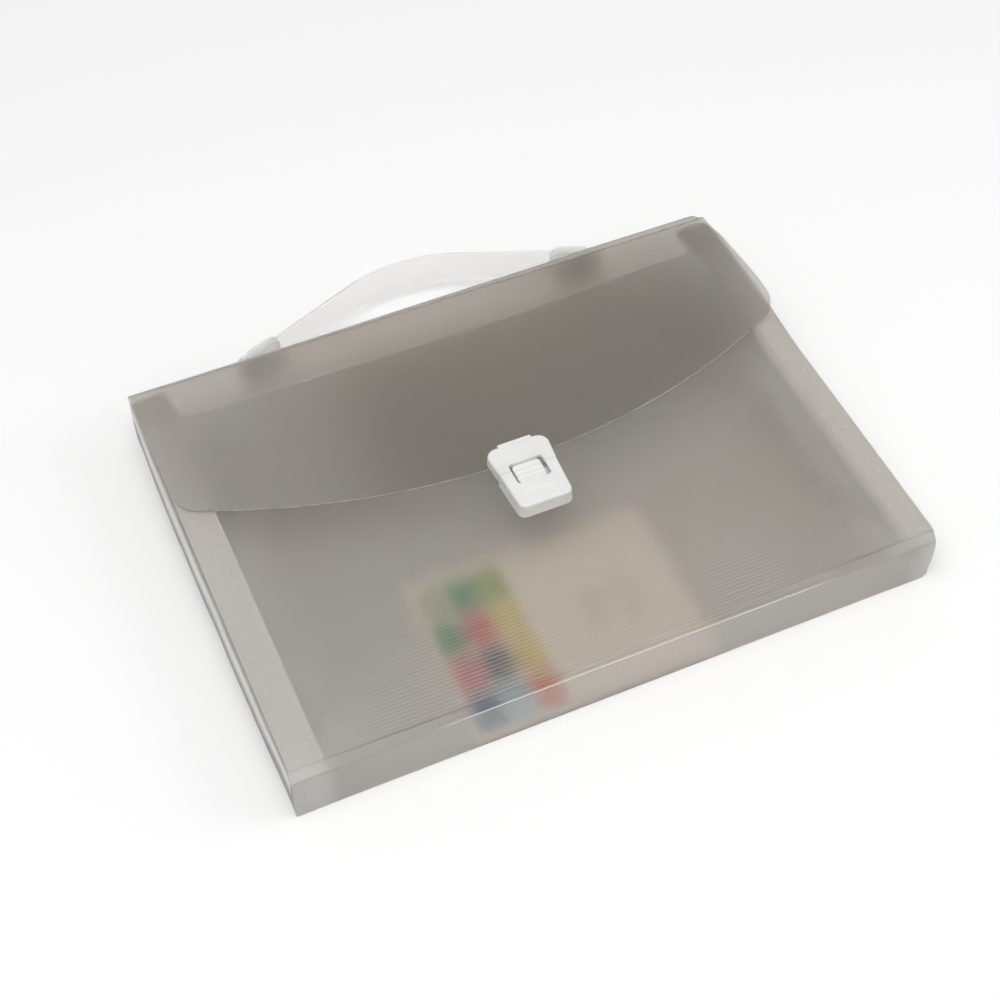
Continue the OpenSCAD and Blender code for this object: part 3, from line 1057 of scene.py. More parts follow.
@dataclass
class CaseSheet(SheetWork):
    """Front panel, bottom bevel, bottom wall and back panel: one sheet, folded round."""

    wall_middle: float = 18.5
    end_curve: float = 2.6
    notch: float = 95.0
    ear_w: float = 19.8
    ear_r: float = 5.0
    notch_r: float = 7.0
    sag: float = 1.6
    dip: float = 1.15
    front: float = 32.625
    back: float = 0.375
    bottom: float = -122.625
    columns: int = 16
    ear_columns: int = 4
    weld_line: float = 147.0

    def build(self) -> Piece:
        """The folded sheet, with more rows where the ears' corners need them.

        Returns:
            The piece.
        """
        corners = [
            (RIB_START, self.front),
            (BEVEL_TOP, self.front),
            (self.bottom, BEVEL_FOOT),
            (self.bottom, self.back),
            (122.0, self.back),
        ]
        first, *rest = Path(corners, radius=0.6).stations()
        extra = [first.moved(d, d) for d in (0.06, 0.2, 0.36) if first.y - d > rest[0].y]
        return self.sheet("case_sheet", [first, *extra, *rest], CREASED)

    def across(self, row: Station) -> list[Pair | None]:
        """The points across one row; above the notch's edge only the ears have any.

        Args:
            row: The row along the section.

        Returns:
            The outer and the inner point at each place, or None where the notch is.
        """
        on_front = row.z > self.front - 0.01 and row.y > BEVEL_TOP
        left = right = HALF_W
        ear = HALF_W - self.ear_w - self.notch_r
        if on_front:
            top = self._corner(RIB_START - row.y, self.ear_r)
            left = right = HALF_W - top
            if row.y > self.notch:
                ear += self.notch_r + top - self._corner(row.y - self.notch, self.notch_r)
        else:
            left += 0.5 * smooth(-row.y, 112.0, 122.0)
            off = (row.z - self.wall_middle) / self.wall_middle
            right += smooth(-row.y, 108.0, 122.5) * (0.4 - self.end_curve * off**2)
        places = [
            *spread(-left, -ear, self.ear_columns),
            *spread(-ear, ear, self.columns)[1:-1],
            *spread(ear, right, self.ear_columns),
        ]
        cut_out = on_front and row.y > self.notch + 0.01
        middle = range(self.ear_columns + 1, self.ear_columns + self.columns)
        return [
            None if cut_out and c in middle else self._point(row, x)
            for c, x in enumerate(places)
        ]

    @staticmethod
    def _corner(depth: float, radius: float) -> float:
        """How far a round corner cuts in, at a depth below the end of its sheet.

        Args:
            depth: Distance below the sheet's end.
            radius: The radius of the corner.

        Returns:
            The cut, which is 0 below the corner.
        """
        if depth >= radius:
            return 0.0
        return radius - sqrt(max(0.0, radius**2 - (radius - depth) ** 2))

    def _point(self, row: Station, x: float) -> Pair:
        """The pair of points at one place, with the soft bend of the panel's foot.

        Args:
            row: The row along the section.
            x: The place across it.

        Returns:
            The outer and the inner point.
        """
        flat = 1.0 - 0.8 * smooth(abs(x), self.weld_line - 3, self.weld_line + 1)
        if row.y < self.bottom + 0.5 and row.z < self.front - 0.5:
            return self.pair(row, x, 0.0)
        if row.z < self.front / 2:
            return self.pair(row, x, flat)
        soft = 1.0 - smooth(abs(x), 92.0, 140.0)
        fade = smooth(row.y, BEVEL_TOP - 1.5, BEVEL_TOP + 1.0)
        ribs = flat * max(fade, soft) * (1.0 + 1.6 * smooth(-row.y, 40.0, 90.0))
        reach = smooth(-row.y, 92.0, -BEVEL_TOP)
        down = smooth(-row.y, -BEVEL_TOP - 0.5, -self.bottom)
        dip = -self.dip * soft * reach * (1 - 0.8 * down)
        slack = max(0.0, 1.0 - (x / 130.0) ** 2) ** 1.5 * smooth(row.y, 62.0, self.notch)
        return self.pair(row, x, ribs, dip - self.sag * slack + puff(x, row.y))


@dataclass
class SpineSheet(SheetWork):
    """The spine panel, with the crease that joins it to the back panel."""

    columns: int = 24
    right_end: tuple[float, ...] = (158.0, 160.5, 162.5, 164.0, 165.0)

    def build(self) -> Piece:
        """The spine as one piece that bends at its crease."""
        corners = [(122.02, 0.375), (122.625, 0.375), (122.625, 29.72)]
        return self.sheet("spine_sheet", Path(corners, radius=0.5).stations(), RIBBED)

    def across(self, row: Station) -> list[Pair]:
        """The points across one row, closer together towards the right end.

        Args:
            row: The row along the section.

        Returns:
            The outer and the inner point at each place.
        """
        up, rib = self.rise(row)
        places = [*spread(-HALF_W, HALF_W, self.columns)[:-1], *self.right_end]
        return [self.pair(row, x, rib, up * self.crown(x)) for x in places]

    def rise(self, row: Station) -> Point:
        """Shares of the crown and of the ribs at one row."""
        return smooth(row.z, 10.0, 29.0), 0.7


@dataclass
class BevelSheet(SpineSheet):
    """The strip between the two creases along the spine's front edge."""

    def build(self) -> Piece:
        """The strip as one piece that bends at the spine's crease."""
        corners = [(122.625, 29.74), (122.625, 30.175), (118.83, 33.97)]
        return self.sheet("spine_bevel_sheet", Path(corners, radius=0.6).stations(), STRIP)

    def rise(self, row: Station) -> Point:
        """The crown runs out towards the flap, and the strip has no ribs."""
        return 1.0 - min(1.0, max(0.0, (122.6 - row.y) / 3.9)), 0.0


@dataclass
class FlapSheet(SheetWork):
    """The flap, with its bowed lower edge and the crease that joins it to the strip."""

    edge_r: float = 373.0
    edge_mid: float = 374.0
    corner_r: float = 15.0
    foot: float = 1.0
    middle: float = 34.275
    columns: int = 40
    overhang: float = 1.0
    lift: float = 3.2
    crest: float = 56.0
    crest_w: float = 34.0

    def build(self) -> Piece:
        """The flap as one piece, with more rows where its edge runs out.

        Returns:
            The piece.
        """
        corners = [(118.81, 33.99), (118.525, self.middle), (self.foot + 0.55, self.middle)]
        rows = Path(corners, radius=0.5).stations()
        tail = rows[-1]
        rows += [tail.moved(d, tail.run + d) for d in (0.14, 0.27, 0.39, 0.47, 0.52)]
        return self.sheet("flap_sheet", rows, FLAP)

    def reach(self, y: float) -> float:
        """Half of the flap's width at one height.

        Args:
            y: The place between bottom and spine.

        Returns:
            The half width.
        """
        corner_x = HALF_W - self.corner_r
        mid_y = self.edge_mid - sqrt((self.edge_r - self.corner_r) ** 2 - corner_x**2)
        turn = atan2(mid_y - self.edge_mid, corner_x)
        if y >= mid_y:
            return HALF_W
        if y >= mid_y + self.corner_r * sin(turn):
            return corner_x + sqrt(self.corner_r**2 - (y - mid_y) ** 2)
        return sqrt(max(0.0, self.edge_r**2 - (self.edge_mid - y) ** 2))

    def across(self, row: Station) -> list[Pair]:
        """The points across one row, lifted and bowed out at the right edge.

        Args:
            row: The row along the section.

        Returns:
            The outer and the inner point at each place.
        """
        half = self.reach(row.y) if row.z > self.middle - 0.01 else HALF_W
        bow = exp(-(((row.y - self.crest) / self.crest_w) ** 2)) * smooth(-row.y, -117, -100)
        made = []
        for even in spread(-1.0, 1.0, self.columns):
            share = sin(pi * even / 2) * 0.35 + even * 0.65
            wide = self.overhang * bow * smooth(share, 0.45, 1.0)
            lift = self.lift * bow * smooth(share, 0.55, 1.0) ** 1.5
            x = share * half
            made.append(self.pair(row, x + wide, 1.0, lift + puff(x, row.y)))
        return made


# The gussets


@dataclass
class Gusset:
    """The folding side film: two flanges on the panels and two leaves between them."""

    side: Side
    half: float = 0.25
    fold: float = 164.95
    front: float = 31.95
    back: float = 1.04
    bulge: float = 2.4
    foot: float = -122.15
    flange_end: float = 115.6
    leaf_end: float = 117.0
    lip: float = 1.2
    lip_line: float = 152.4
    columns: int = 36
    leaf_rows: int = 24
    flange_x: tuple[float, ...] = (148.0, 148.5, 150.2, 152.4, 156.0, 160.0, 163.4)
    turns: tuple[Point, ...] = ((164.3, 0.03), (164.8, 0.16))

    @property
    def flange_rows(self) -> int:
        """How many rows from an edge belong to a flange alone."""
        return len(self.flange_x) + 1

    def build(self) -> Piece:
        """The film as one piece; its leaves, flanges and rims have their own finishes.

        Returns:
            The piece.
        """
        path = self._path()
        mesh = Mesher(f"gusset_film_{self.side.word}")
        shares = spread(0.0, 1.0, self.columns)
        grid = [[self._pair(path, r, share) for share in shares] for r in range(len(path))]
        leaf, weld, rim = 0, 2, 2
        if self.side is Side.LEFT:
            grid, rim = [row[::-1] for row in grid], 3
        last = len(path) - 2
        leaves = range(self.flange_rows, last + 1 - self.flange_rows)
        mesh.slab(grid, rows=lambda r: rim if r in (0, last) else leaf if r in leaves else weld)
        return mesh.build(FILM, EDGE, WELDED, RIM)

    def _path(self) -> list[tuple[float, float, float]]:
        """The film's section: distance from the middle, height and share of the bulge.

        Returns:
            The section's points, from the front flange to the back one.
        """
        rows = [(x, self.front - self._droop(x), 0.0) for x in self.flange_x]
        rows += [(x, self.front - h, 0.0) for x, h in self.turns]
        for turn in spread(0.0, pi, self.leaf_rows):
            t = 0.5 - 0.5 * cos(turn)
            z = self.front - 0.4 + (self.back - self.front + 0.8) * t
            rows.append((self.fold, z, max(0.0, sin(pi * t)) ** 0.55))
        rows += [(x, self.back + h, 0.0) for x, h in self.turns[::-1]]
        return rows + [(x, self.back, 0.0) for x in self.flange_x[::-1]]

    def _droop(self, x: float) -> float:
        """How far the free lip of the right flange hangs below its panel.

        Args:
            x: Distance from the case's middle.

        Returns:
            The drop, which is 0 on the left side.
        """
        if self.side is Side.LEFT:
            return 0.0
        wide = self.lip_line - self.flange_x[0]
        return self.lip * (max(0.0, self.lip_line - x) / wide) ** 1.5

    def _swell(self, y: float) -> float:
        """The bulge's share at one height of the case.

        Args:
            y: The place between bottom and spine.

        Returns:
            The share, which is about 1 where the film bulges most.
        """
        top = 0.25 + 0.75 * smooth(-y, -117.0, -70.0)
        foot = 0.45 + 0.55 * smooth(y, -122.0, -40.0)
        if self.side is Side.RIGHT:
            foot = 0.10 + 0.90 * smooth(y, -122.0, -88.0)
        ripple = 0.06 * sin(y / 17.0) + 0.04 * sin(y / 7.3 + 1.0)
        return (foot + ripple) * top

    def _pair(self, path: list[tuple[float, float, float]], r: int, along: float) -> Pair:
        """Outer and inner point at one row and share of the film's length.

        Args:
            path: The film's section.
            r: The number of the row in it.
            along: The share of the film's length.

        Returns:
            The outer and the inner point.
        """
        x, z, share = path[r]
        leaves = range(self.flange_rows, len(path) - self.flange_rows)
        end = self.leaf_end if share or r in leaves else self.flange_end
        start = self.foot + max(0.0, z - 28.0)
        y = start + (end - start) * along
        swell = self.bulge * self._swell(y)
        low, high = path[max(0, r - 1)], path[min(len(path) - 1, r + 1)]
        wide = high[0] + swell * high[2] - low[0] - swell * low[2]
        slope = Vector((wide, high[1] - low[1])).normalized()
        sign = self.side.value
        at = Vector((x + swell * share, z))
        at.y += puff(sign * x, y) * smooth(z, 3.0, self.front - 1.0)
        out = Vector((-slope.y, slope.x)) * self.half
        return tuple(Vector((sign * spot.x, y, spot.y)) for spot in (at + out, at - out))


@dataclass
class WeldRows:
    """Two rows of fused spots along a flange, closed by a group of five."""

    side: Side
    level: float
    name: str
    radius: float = 0.75
    height: float = 0.10
    middle: float = 156.5
    gap: float = 6.9
    pitch: float = 10.6
    foot: float = -115.06
    count: int = 21
    segments: int = 10
    profile: tuple[Point, ...] = ((1.0, 0.02), (0.86, 0.55), (0.62, 1.0), (0.3, 0.8))

    def places(self) -> list[Point]:
        """Where the spots are.

        Returns:
            Their places across and along the case.
        """
        spots = [(self.middle, self.foot + self.gap / 2)]
        for x in (self.middle - self.gap / 2, self.middle + self.gap / 2):
            spots.append((x, self.foot))
            spots += [(x, self.foot + self.gap + i * self.pitch) for i in range(self.count)]
        return [(self.side.value * x, y) for x, y in spots]

    def build(self) -> Piece:
        """The spots as one piece, each a low button with a dimple.

        Returns:
            The piece.
        """
        mesh = Mesher(self.name)
        on_front = self.level > HALF_DEPTH
        for x, y in self.places():
            level = self.level + (puff(x, y) if on_front else 0.0)
            circle = arc((0.0, 0.0), self.radius, 0, 360, self.segments)[:-1]
            mesh.loft(
                [
                    mesh.ring(
                        [(x + share * u, y + share * v) for u, v in circle],
                        level + self.height * rise,
                    )
                    for share, rise in self.profile
                ]
            )
        return mesh.build(FUSED, sharp=60)


# The latch


@dataclass
class Latch:
    """The lock on the panel, the hasp on the flap and the button between them."""

    base: float = 33.0
    top: float = 41.0
    seam: float = -9.0
    gap: float = 0.09
    lock_foot: float = -32.5
    lock_foot_w: float = 29.0
    waist: float = 31.0
    lock_r: float = 4.0
    hasp_top: float = 8.0
    hasp_w: float = 33.4
    hasp_r: float = 6.0
    window_w: float = 18.0
    window_low: float = 8.6
    window_high: float = 4.3
    window_r: float = 1.6
    pad_w: float = 15.0
    pad_r: float = 2.0
    edge: float = 1.25

    def _side(self, y: float) -> Point:
        """The point at that height on the latch's slanted right side."""
        slant = (self.hasp_w - self.lock_foot_w) / 2 / (self.hasp_top - self.lock_foot)
        return self.waist / 2 + (y - self.seam) * slant, y

    def _lock_outline(self) -> list[Point]:
        """The lock's outline, anticlockwise.

        Returns:
            Its points.
        """
        mid = (self.lock_foot_w / 2 - self.lock_r, self.lock_foot + self.lock_r)
        corner = arc(mid, self.lock_r, -90, -5, 10)
        return mirrored([(0.0, self.lock_foot), *corner, self._side(self.seam + 4.0)])

    def _hasp_outline(self) -> list[Point]:
        """The hasp's outline, anticlockwise."""
        mid = (self.hasp_w / 2 - self.hasp_r, self.hasp_top - self.hasp_r)
        return mirrored([self._side(self.seam - 4.0), *arc(mid, self.hasp_r, 5, 90, 12)])

    def _through(self, outline: Outline, layers: Outline) -> Mesher:
        """A cutter that starts under the latch and ends at heights over its top."""
        over = [(d, self.top + h) for d, h in layers]
        return Mesher("cutter").prism(outline, [(0.0, self.base - 1), *over])

    def _past_seam(self, way: int) -> Mesher:
        """The cutter for what lies past the seam, above it or below it.

        Args:
            way: 1 for what lies above the seam and -1 for what lies below it.

        Returns:
            The cutter.
        """
        low, high = sorted((self.seam - way * self.gap, self.seam + way * 9.0))
        outline = [(-22.0, low), (22.0, low), (22.0, high), (-22.0, high)]
        return self._through(outline, [(0.0, 2.0)])

    def _window(self) -> Mesher:
        """The cutter for the window, flared where its rim is rounded.

        Returns:
            The cutter.
        """
        mid = (0.0, self.seam + (self.window_high - self.window_low) / 2)
        tall = self.window_low + self.window_high
        flare = [(0.0, -0.5), (-0.05, -0.3), (-0.18, -0.12), (-0.42, 0.0), (-0.9, 0.5)]
        return self._through(rounded_box(mid, self.window_w, tall, self.window_r), flare)

    def _room(self, low: float, high: float, roof: float) -> Mesher:
        """A box cutter for a hollow under a roof of that thickness."""
        mid = (0.0, self.seam + (low + high) / 2)
        return self._through(rounded_box(mid, 22.8, high - low, 0.6, 3), [(0.0, -roof)])

    def _channel(
        self,
        outer: Callable[[float], list[Point]],
        inner: Callable[[float], list[Point]],
        levels: Outline,
    ) -> Mesher:
        """A cutter for a shallow channel.

        Args:
            outer: The outer outline at an inset.
            inner: The inner outline at an inset.
            levels: Insets, and heights over the latch's top, from the bottom up.

        Returns:
            The cutter.
        """
        channel = Mesher("channel")
        outside = [channel.ring(outer(d), self.top + h) for d, h in levels]
        inside = [channel.ring(inner(d), self.top + h) for d, h in levels]
        channel.bands([*outside, *inside[::-1], outside[0]])
        return channel

    def _crown(self) -> list[Point]:
        """Insets and heights of the rounded edge round the latch's top."""
        return fillet(self.edge, self.top, 5, start=0.3)

    def lock(self) -> Piece:
        """The lock's housing, with a sunk frame, a foot rim and the mark of a pin.

        Returns:
            The piece.
        """
        rim = ((-0.16, 0.02), (-0.16, 0.75), (-0.08, 0.95), (0.02, 1.1))
        layers = [(d, self.base + h) for d, h in (*rim, (0.1, 2.5), (0.2, 5.0))]
        mesh = Mesher("lock_housing").prism(self._lock_outline(), [*layers, *self._crown()])
        mid = (0.0, -26.3)
        frame_cut = self._channel(
            lambda d: inset(rounded_box(mid, 17.2, 8.8, 1.4, 5), d),
            lambda d: inset(rounded_box(mid, 14.2, 5.8, 0.9, 5), -d),
            ((0.14, -0.34), (0.0, -0.2), (-0.12, 0.02), (-0.12, 0.4)),
        )
        pin = arc((-11.2, -29.4), 0.42, 0, 330, 11)
        pin_mark = Mesher("pin").prism(pin, [(0.0, self.top - 0.35), (0.0, self.top + 0.5)])
        room = self._room(-12.6, 3.0, 1.2)
        cutters = [self._past_seam(1), self._window(), room, frame_cut, pin_mark]
        return moulded(mesh, WHITE, cutters)

    def hasp(self) -> Piece:
        """The hasp's housing, with a fine line near its upper corners.

        Returns:
            The piece.
        """
        wall = [(0.4, 34.67), (0.4, 35.3), (0.1, 35.5), (0.05, 35.8), (0.2, 38.0)]
        mesh = Mesher("hasp_housing").prism(self._hasp_outline(), [*wall, *self._crown()])
        near = inset(self._hasp_outline(), 1.9)
        line = self._channel(
            lambda d: inset(near, d),
            lambda d: inset(near, 0.34 - d),
            ((0.06, -0.12), (-0.05, 0.3)),
        )
        room = self._room(-3.0, 6.8, 2.4)
        return moulded(mesh, WHITE, [self._past_seam(-1), self._window(), room, line])

    def bar(self) -> Piece:
        """The pressed bar on the hasp's upper edge.

        Returns:
            The piece.
        """
        outline = rounded_box((0.0, 7.35), 18.0, 2.5, 0.5, 4)
        layers = [(0.25, 39.6), (0.0, 39.8), *fillet(0.4, self.top + 0.42, 3)]
        return moulded(Mesher("hasp_bar").prism(outline, layers), WHITE)

    def catch(self) -> Piece:
        """The catch that hangs under the hasp's top, behind the button's nose.

        Returns:
            The piece.
        """
        outline = rounded_box((0.0, -2.6), 20.4, 1.2, 0.3, 3)
        layers = [(0.15, 35.7), (0.0, 35.9), (0.0, 39.8)]
        return Mesher("hasp_catch").prism(outline, layers).build(WHITE)

    def button(self) -> Piece:
        """The sliding button with its thumb ridges, on a carriage under the lock.

        Returns:
            The piece.
        """
        low, high = self.seam - self.window_low + 0.3, self.seam + self.window_high - 0.3
        pad = rounded_box((0.0, (low + high) / 2), self.pad_w, high - low, self.pad_r)
        mid = (0.0, (low + self.seam) / 2 - 0.3)
        carriage = rounded_box(mid, 22.2, self.seam - low - 1.0, 0.6, 3)
        mesh = Mesher("ridged_button")
        mesh.prism(pad, [(0.1, 35.2), (0.0, 35.6), (0.0, 38.95), (0.15, 39.15), (0.4, 39.3)])
        mesh.prism(carriage, [(0.2, 35.3), (0.0, 35.45), (0.0, 36.2), (0.2, 36.35)])
        self._ridges(mesh, low, high)
        return moulded(mesh, WHITE, sharp=50.0)

    def _ridges(self, mesh: Mesher, low: float, high: float) -> None:
        """Adds four soft ridges, as one waved cushion with rounded corners.

        Args:
            mesh: The button's mesh.
            low: The lower end of the pad.
            high: The upper end of the pad.
        """
        rows, columns, count = 48, 18, 4
        half, tall = self.pad_w / 2 - 0.12, high - low - 0.24
        grid = []
        for turn in spread(0.04 * pi, 0.96 * pi, rows):
            v = 0.5 - 0.5 * cos(turn)
            down = tall * v
            near = min(down, tall - down, self.pad_r)
            wide = half - self.pad_r + sqrt(self.pad_r**2 - (self.pad_r - near) ** 2)
            wave = (0.5 - 0.5 * cos(TURN * count * v)) ** 0.75
            line = []
            for lean in spread(-pi / 2, pi / 2, columns):
                x = wide * sin(lean)
                rim = min(1.0, (wide - abs(x)) / 0.9, near / 0.9)
                crown = sqrt(max(0.0, 1 - (1 - rim) ** 2))
                top = 39.1 + crown * (0.12 + 0.5 * wave)
                line.append(tuple(Vector((x, high - 0.12 - down, z)) for z in (top, 38.6)))
            grid.append(line)
        mesh.slab(grid, edges=0)


# The handle


@dataclass
class Handle:
    """The bowed strap and the parts that hold its ends to the spine."""

    middle: float = 17.325
    spine: float = 123.0
    boss_x: float = 101.0
    boss_y: float = 127.5
    boss_r: float = 3.4
    crown_y: float = 162.0
    middle_r: float = 91.9
    centre: float = 69.0
    strap_t: float = 2.2
    strap_w: float = 20.0
    sleeve_w: float = 21.6
    strap_gap: float = 5.2
    plate_x: float = 91.8
    plate: Point = (28.4, 17.0)
    leg_steps: int = 8
    steps: int = 26
    slope: float = field(init=False)
    reach: float = field(init=False)

    def __post_init__(self) -> None:
        """Works out the legs' slope and straight length from the crown and the bosses."""
        up = self.boss_y - self.centre
        far = hypot(self.boss_x, up)
        self.slope = atan2(self.boss_x, up) - acos(self.middle_r / far)
        leg = self.boss_x - self.middle_r * sin(self.slope)
        self.reach = leg / cos(self.slope) - self.strap_gap

    def line(self) -> list[tuple[Vector, Vector]]:
        """The strap's middle line from left to right, with its outward direction.

        Returns:
            Each point with its outward direction.
        """
        leg = [(self.slope, along) for along in spread(self.reach, 0.0, self.leg_steps)[:-1]]
        bow = [(turn, 0.0) for turn in spread(self.slope, -self.slope, self.steps)]
        found = []
        for turn, along in [*leg, *bow, *[(-turn, -along) for turn, along in leg[::-1]]]:
            out = Vector((-sin(turn), cos(turn)))
            on = Vector((-cos(turn), -sin(turn)))
            found.append((Vector((0.0, self.centre)) + out * self.middle_r + on * along, out))
        return found

    def strap(self) -> Piece:
        """The strap: a flat band with round edges, fuller along its middle.

        Returns:
            The piece.
        """
        mesh, rings, line = Mesher("handle_band"), [], self.line()
        for share, (at, out) in zip(spread(-1.0, 1.0, len(line) - 1), line):
            half_w = self.strap_w / 2 - 0.6 * smooth(abs(share), 0.25, 0.9)
            places = ((at + out * h, w) for w, h in self._section(half_w, self.strap_t / 2))
            rings.append([mesh.add((*spot, self.middle + w)) for spot, w in places])
        mesh.loft(rings[::-1])
        return mesh.build(SOFT_WHITE, sharp=50)

    @staticmethod
    def _section(half_w: float, half_t: float) -> list[Point]:
        """The band's cross-section: width and height, round at both edges.

        Args:
            half_w: Half of its width.
            half_t: Half of its thickness at the edges.

        Returns:
            The points.
        """
        full = (0.45 * half_w, half_t + 0.12)
        return [
            *arc((half_w - half_t, 0.0), half_t, -90, 90, 6),
            *(full, (0.0, half_t + 0.18), (-full[0], full[1])),
            *arc((-half_w + half_t, 0.0), half_t, 90, 270, 6),
            *((x * half_w, -half_t - 0.05) for x in (-0.5, 0.5)),
        ]

    def cap(self, side: Side) -> Piece:
        """The sleeve over one end of the strap, with a rounded mouth, and its knuckle.

        Args:
            side: The end of the handle.

        Returns:
            The piece.
        """
        turn, half = self._leg_frame(side), self.sleeve_w / 2
        right = [(3.2, 0.0), (17.5, 0.0), (20.5, 0.9), (22.6, 3.2), (23.2, 6.0)]
        outline = [(x, d - half) for x, d in right] + [(x, half - d) for x, d in right[::-1]]
        sleeve = [(0.9, 2.4), (0.35, 2.15), (0.0, 1.6)]
        knuckle = rounded_box((1.2, 0.0), 5.2, 18.6, 1.0, 4)
        mesh = Mesher(f"handle_sleeve_{side.word}")
        mesh.prism(outline, self._both_ways(sleeve), turn)
        mesh.prism(knuckle, self._both_ways([(0.5, 2.1), (0.0, 1.7)]), turn)
        return moulded(mesh, SLEEVE_WHITE)

    @staticmethod
    def _both_ways(layers: Outline) -> list[Point]:
        """Insets and heights of a solid that is the same below and above its middle."""
        return [(d, -h) for d, h in layers] + [(d, h) for d, h in layers[::-1]]

    def _leg_frame(self, side: Side) -> Matrix:
        """A frame at the boss: first axis up the leg, second along Z, third outwards.

        Args:
            side: The end of the handle.

        Returns:
            The frame.
        """
        sign = side.value
        up = Vector((-sign * cos(self.slope), sin(self.slope), 0.0))
        out = Vector((sign * sin(self.slope), cos(self.slope), 0.0))
        turn = Matrix((up, out.cross(up), out)).transposed().to_4x4()
        turn.translation = Vector((sign * self.boss_x, self.boss_y, self.middle))
        return turn

    def base(self, side: Side) -> Piece:
        """The foot plate and boss on the spine at one end.

        Args:
            side: The end of the handle.

        Returns:
            The piece.
        """
        boss_x = side.value * self.boss_x
        mesh = Mesher(f"handle_foot_{side.word}")
        flat = Matrix(((1, 0, 0, 0), (0, 0, 1, 0), (0, -1, 0, 0), (0, 0, 0, 1)))
        plate = rounded_box((side.value * self.plate_x, -self.middle), *self.plate, 2.2, 5)
        layers = [(0.0, self.spine + 0.02), (0.0, 123.9), *fillet(0.6, 124.6, 3)]
        mesh.prism(plate, layers, flat)
        profile = [
            (boss_x - self.boss_r, 124.4),
            (boss_x + self.boss_r, 124.4),
            *arc((boss_x, self.boss_y), self.boss_r, 0, 180, 12),
        ]
        upright = Matrix.Translation((0, 0, self.middle))
        mesh.prism(profile, self._both_ways([(0.5, 8.5), (0.1, 8.2), (0.0, 7.8)]), upright)
        return moulded(mesh, FOOT_WHITE)


# The card


@dataclass
class Card:
    """The loose card, with the slight curl of paper."""

    left: float = -77.0
    right: float = 52.0
    foot: float = -121.9
    head: float = -26.0
    level: float = 1.06
    thickness: float = 0.36
    curl: float = 1.4
    rows: int = 16
    columns: int = 20

    def build(self) -> Piece:
        """The card as one piece.

        Returns:
            The piece.
        """
        grid = []
        for v, y in zip(spread(1, 0, self.rows), spread(self.head, self.foot, self.rows)):
            row = []
            for u, x in zip(
                spread(-1, 1, self.columns), spread(self.left, self.right, self.columns)
            ):
                z = self.level + self.curl * (max(0.0, abs(u) - 0.4) / 0.6) ** 2 * v**2
                row.append((Vector((x, y, z + self.thickness)), Vector((x, y, z))))
            grid.append(row)
        mesh = Mesher("loose_card")
        mesh.slab(grid, edges=0)
        return mesh.build(CARD)


# The studio


@dataclass
class Studio:
    """Floor, light and camera."""

    focal_px: float = 1845.486
    azimuth: float = 24.0419
    elevation: float = 51.5588
    roll: float = 0.0971
    place: tuple[float, float, float] = (-0.246819, -0.528672, 0.738227)
    sensor: float = 36.0
    dome: float = 0.5
    key_watts: float = 15.0
    bounces: int = 20

    def build(self) -> None:
        """Sets up all three."""
        scene = bpy.context.scene
        scene.view_settings.view_transform = "Standard"
        scene.cycles.max_bounces = scene.cycles.transmission_bounces = self.bounces
        scene.cycles.glossy_bounces = self.bounces // 2
        scene.cycles.blur_glossy = 0.0
        self._camera(scene)
        self._world(scene)
        self._floor()
        self._lamp("softbox", (-0.35, -0.35, 1.7), 1.3, self.key_watts)
        self._lamp("side_fill", (1.3, -0.5, 0.9), 0.9, self.key_watts * 0.25)

    def _camera(self, scene: bpy.types.Scene) -> None:
        """The camera at the photograph's place.

        Args:
            scene: The scene that it serves.
        """
        data = bpy.data.cameras.new("camera")
        data.sensor_width = self.sensor
        data.lens = self.focal_px * self.sensor / 1000.0
        data.clip_start, data.clip_end = 0.01, 50.0
        camera = bpy.data.objects.new("camera", data)
        scene.collection.objects.link(camera)
        down = radians(90.0 - self.elevation)
        camera.matrix_world = (
            Matrix.Translation(self.place)
            @ Matrix.Rotation(-radians(self.azimuth), 4, "Z")
            @ Matrix.Rotation(down, 4, "X")
            @ Matrix.Rotation(radians(self.roll), 4, "Z")
        )
        scene.camera = camera

    def _world(self, scene: bpy.types.Scene) -> None:
        """A grey dome that fills the shadows.

        Args:
            scene: The scene that it lights.
        """
        world = scene.world = bpy.data.worlds.new("studio")
        world.use_nodes = True
        graph = Graph(world.node_tree)
        dome = graph.add("Background", {"Color": (1, 1, 1), "Strength": self.dome})
        graph.add("OutputWorld", {"Surface": dome})

    @staticmethod
    def _floor() -> None:
        """A wide pale floor that keeps the shadow; it glows a little to direct rays."""
        outline = rounded_box((0.0, 0.0), 9000, 9000, 900, 8)
        floor = Mesher("floor").prism(outline, [(0.0, -20.0), (0.0, -0.06)]).build()
        made = bpy.data.materials.new("pale_floor")
        made.use_nodes = True
        graph = Graph(made.node_tree)
        seen = graph.add("LightPath", output="Is Camera Ray")
        for name in ("Is Glossy Ray", "Is Transmission Ray"):
            seen = seen.most(graph.add("LightPath", output=name))
        matt = graph.add("BsdfDiffuse", {"Color": (0.95, 0.95, 0.95)})
        glow = graph.add("Emission", {"Color": (1, 1, 1), "Strength": 0.08})
        lifted = graph.add("AddShader", {0: matt, 1: glow})
        both = graph.add("MixShader", {0: seen, 1: matt, 2: lifted})
        graph.add("OutputMaterial", {"Surface": both})
        floor.data.materials.append(made)

    @staticmethod
    def _lamp(name: str, place: tuple[float, float, float], size: float, watts: float) -> None:
        """A soft square lamp that looks at the case.

        Args:
            name: Its name.
            place: Its place, in metres.
            size: The length of its side, in metres.
            watts: Its power.
        """
        data = bpy.data.lights.new(name, "AREA")
        data.shape, data.size, data.energy = "SQUARE", size, watts
        lamp = bpy.data.objects.new(name, data)
        bpy.context.scene.collection.objects.link(lamp)
        lamp.location = place
        lamp.rotation_mode = "QUATERNION"
        lamp.rotation_quaternion = (-Vector(place)).to_track_quat("-Z", "Y")


# The pieces on the frame


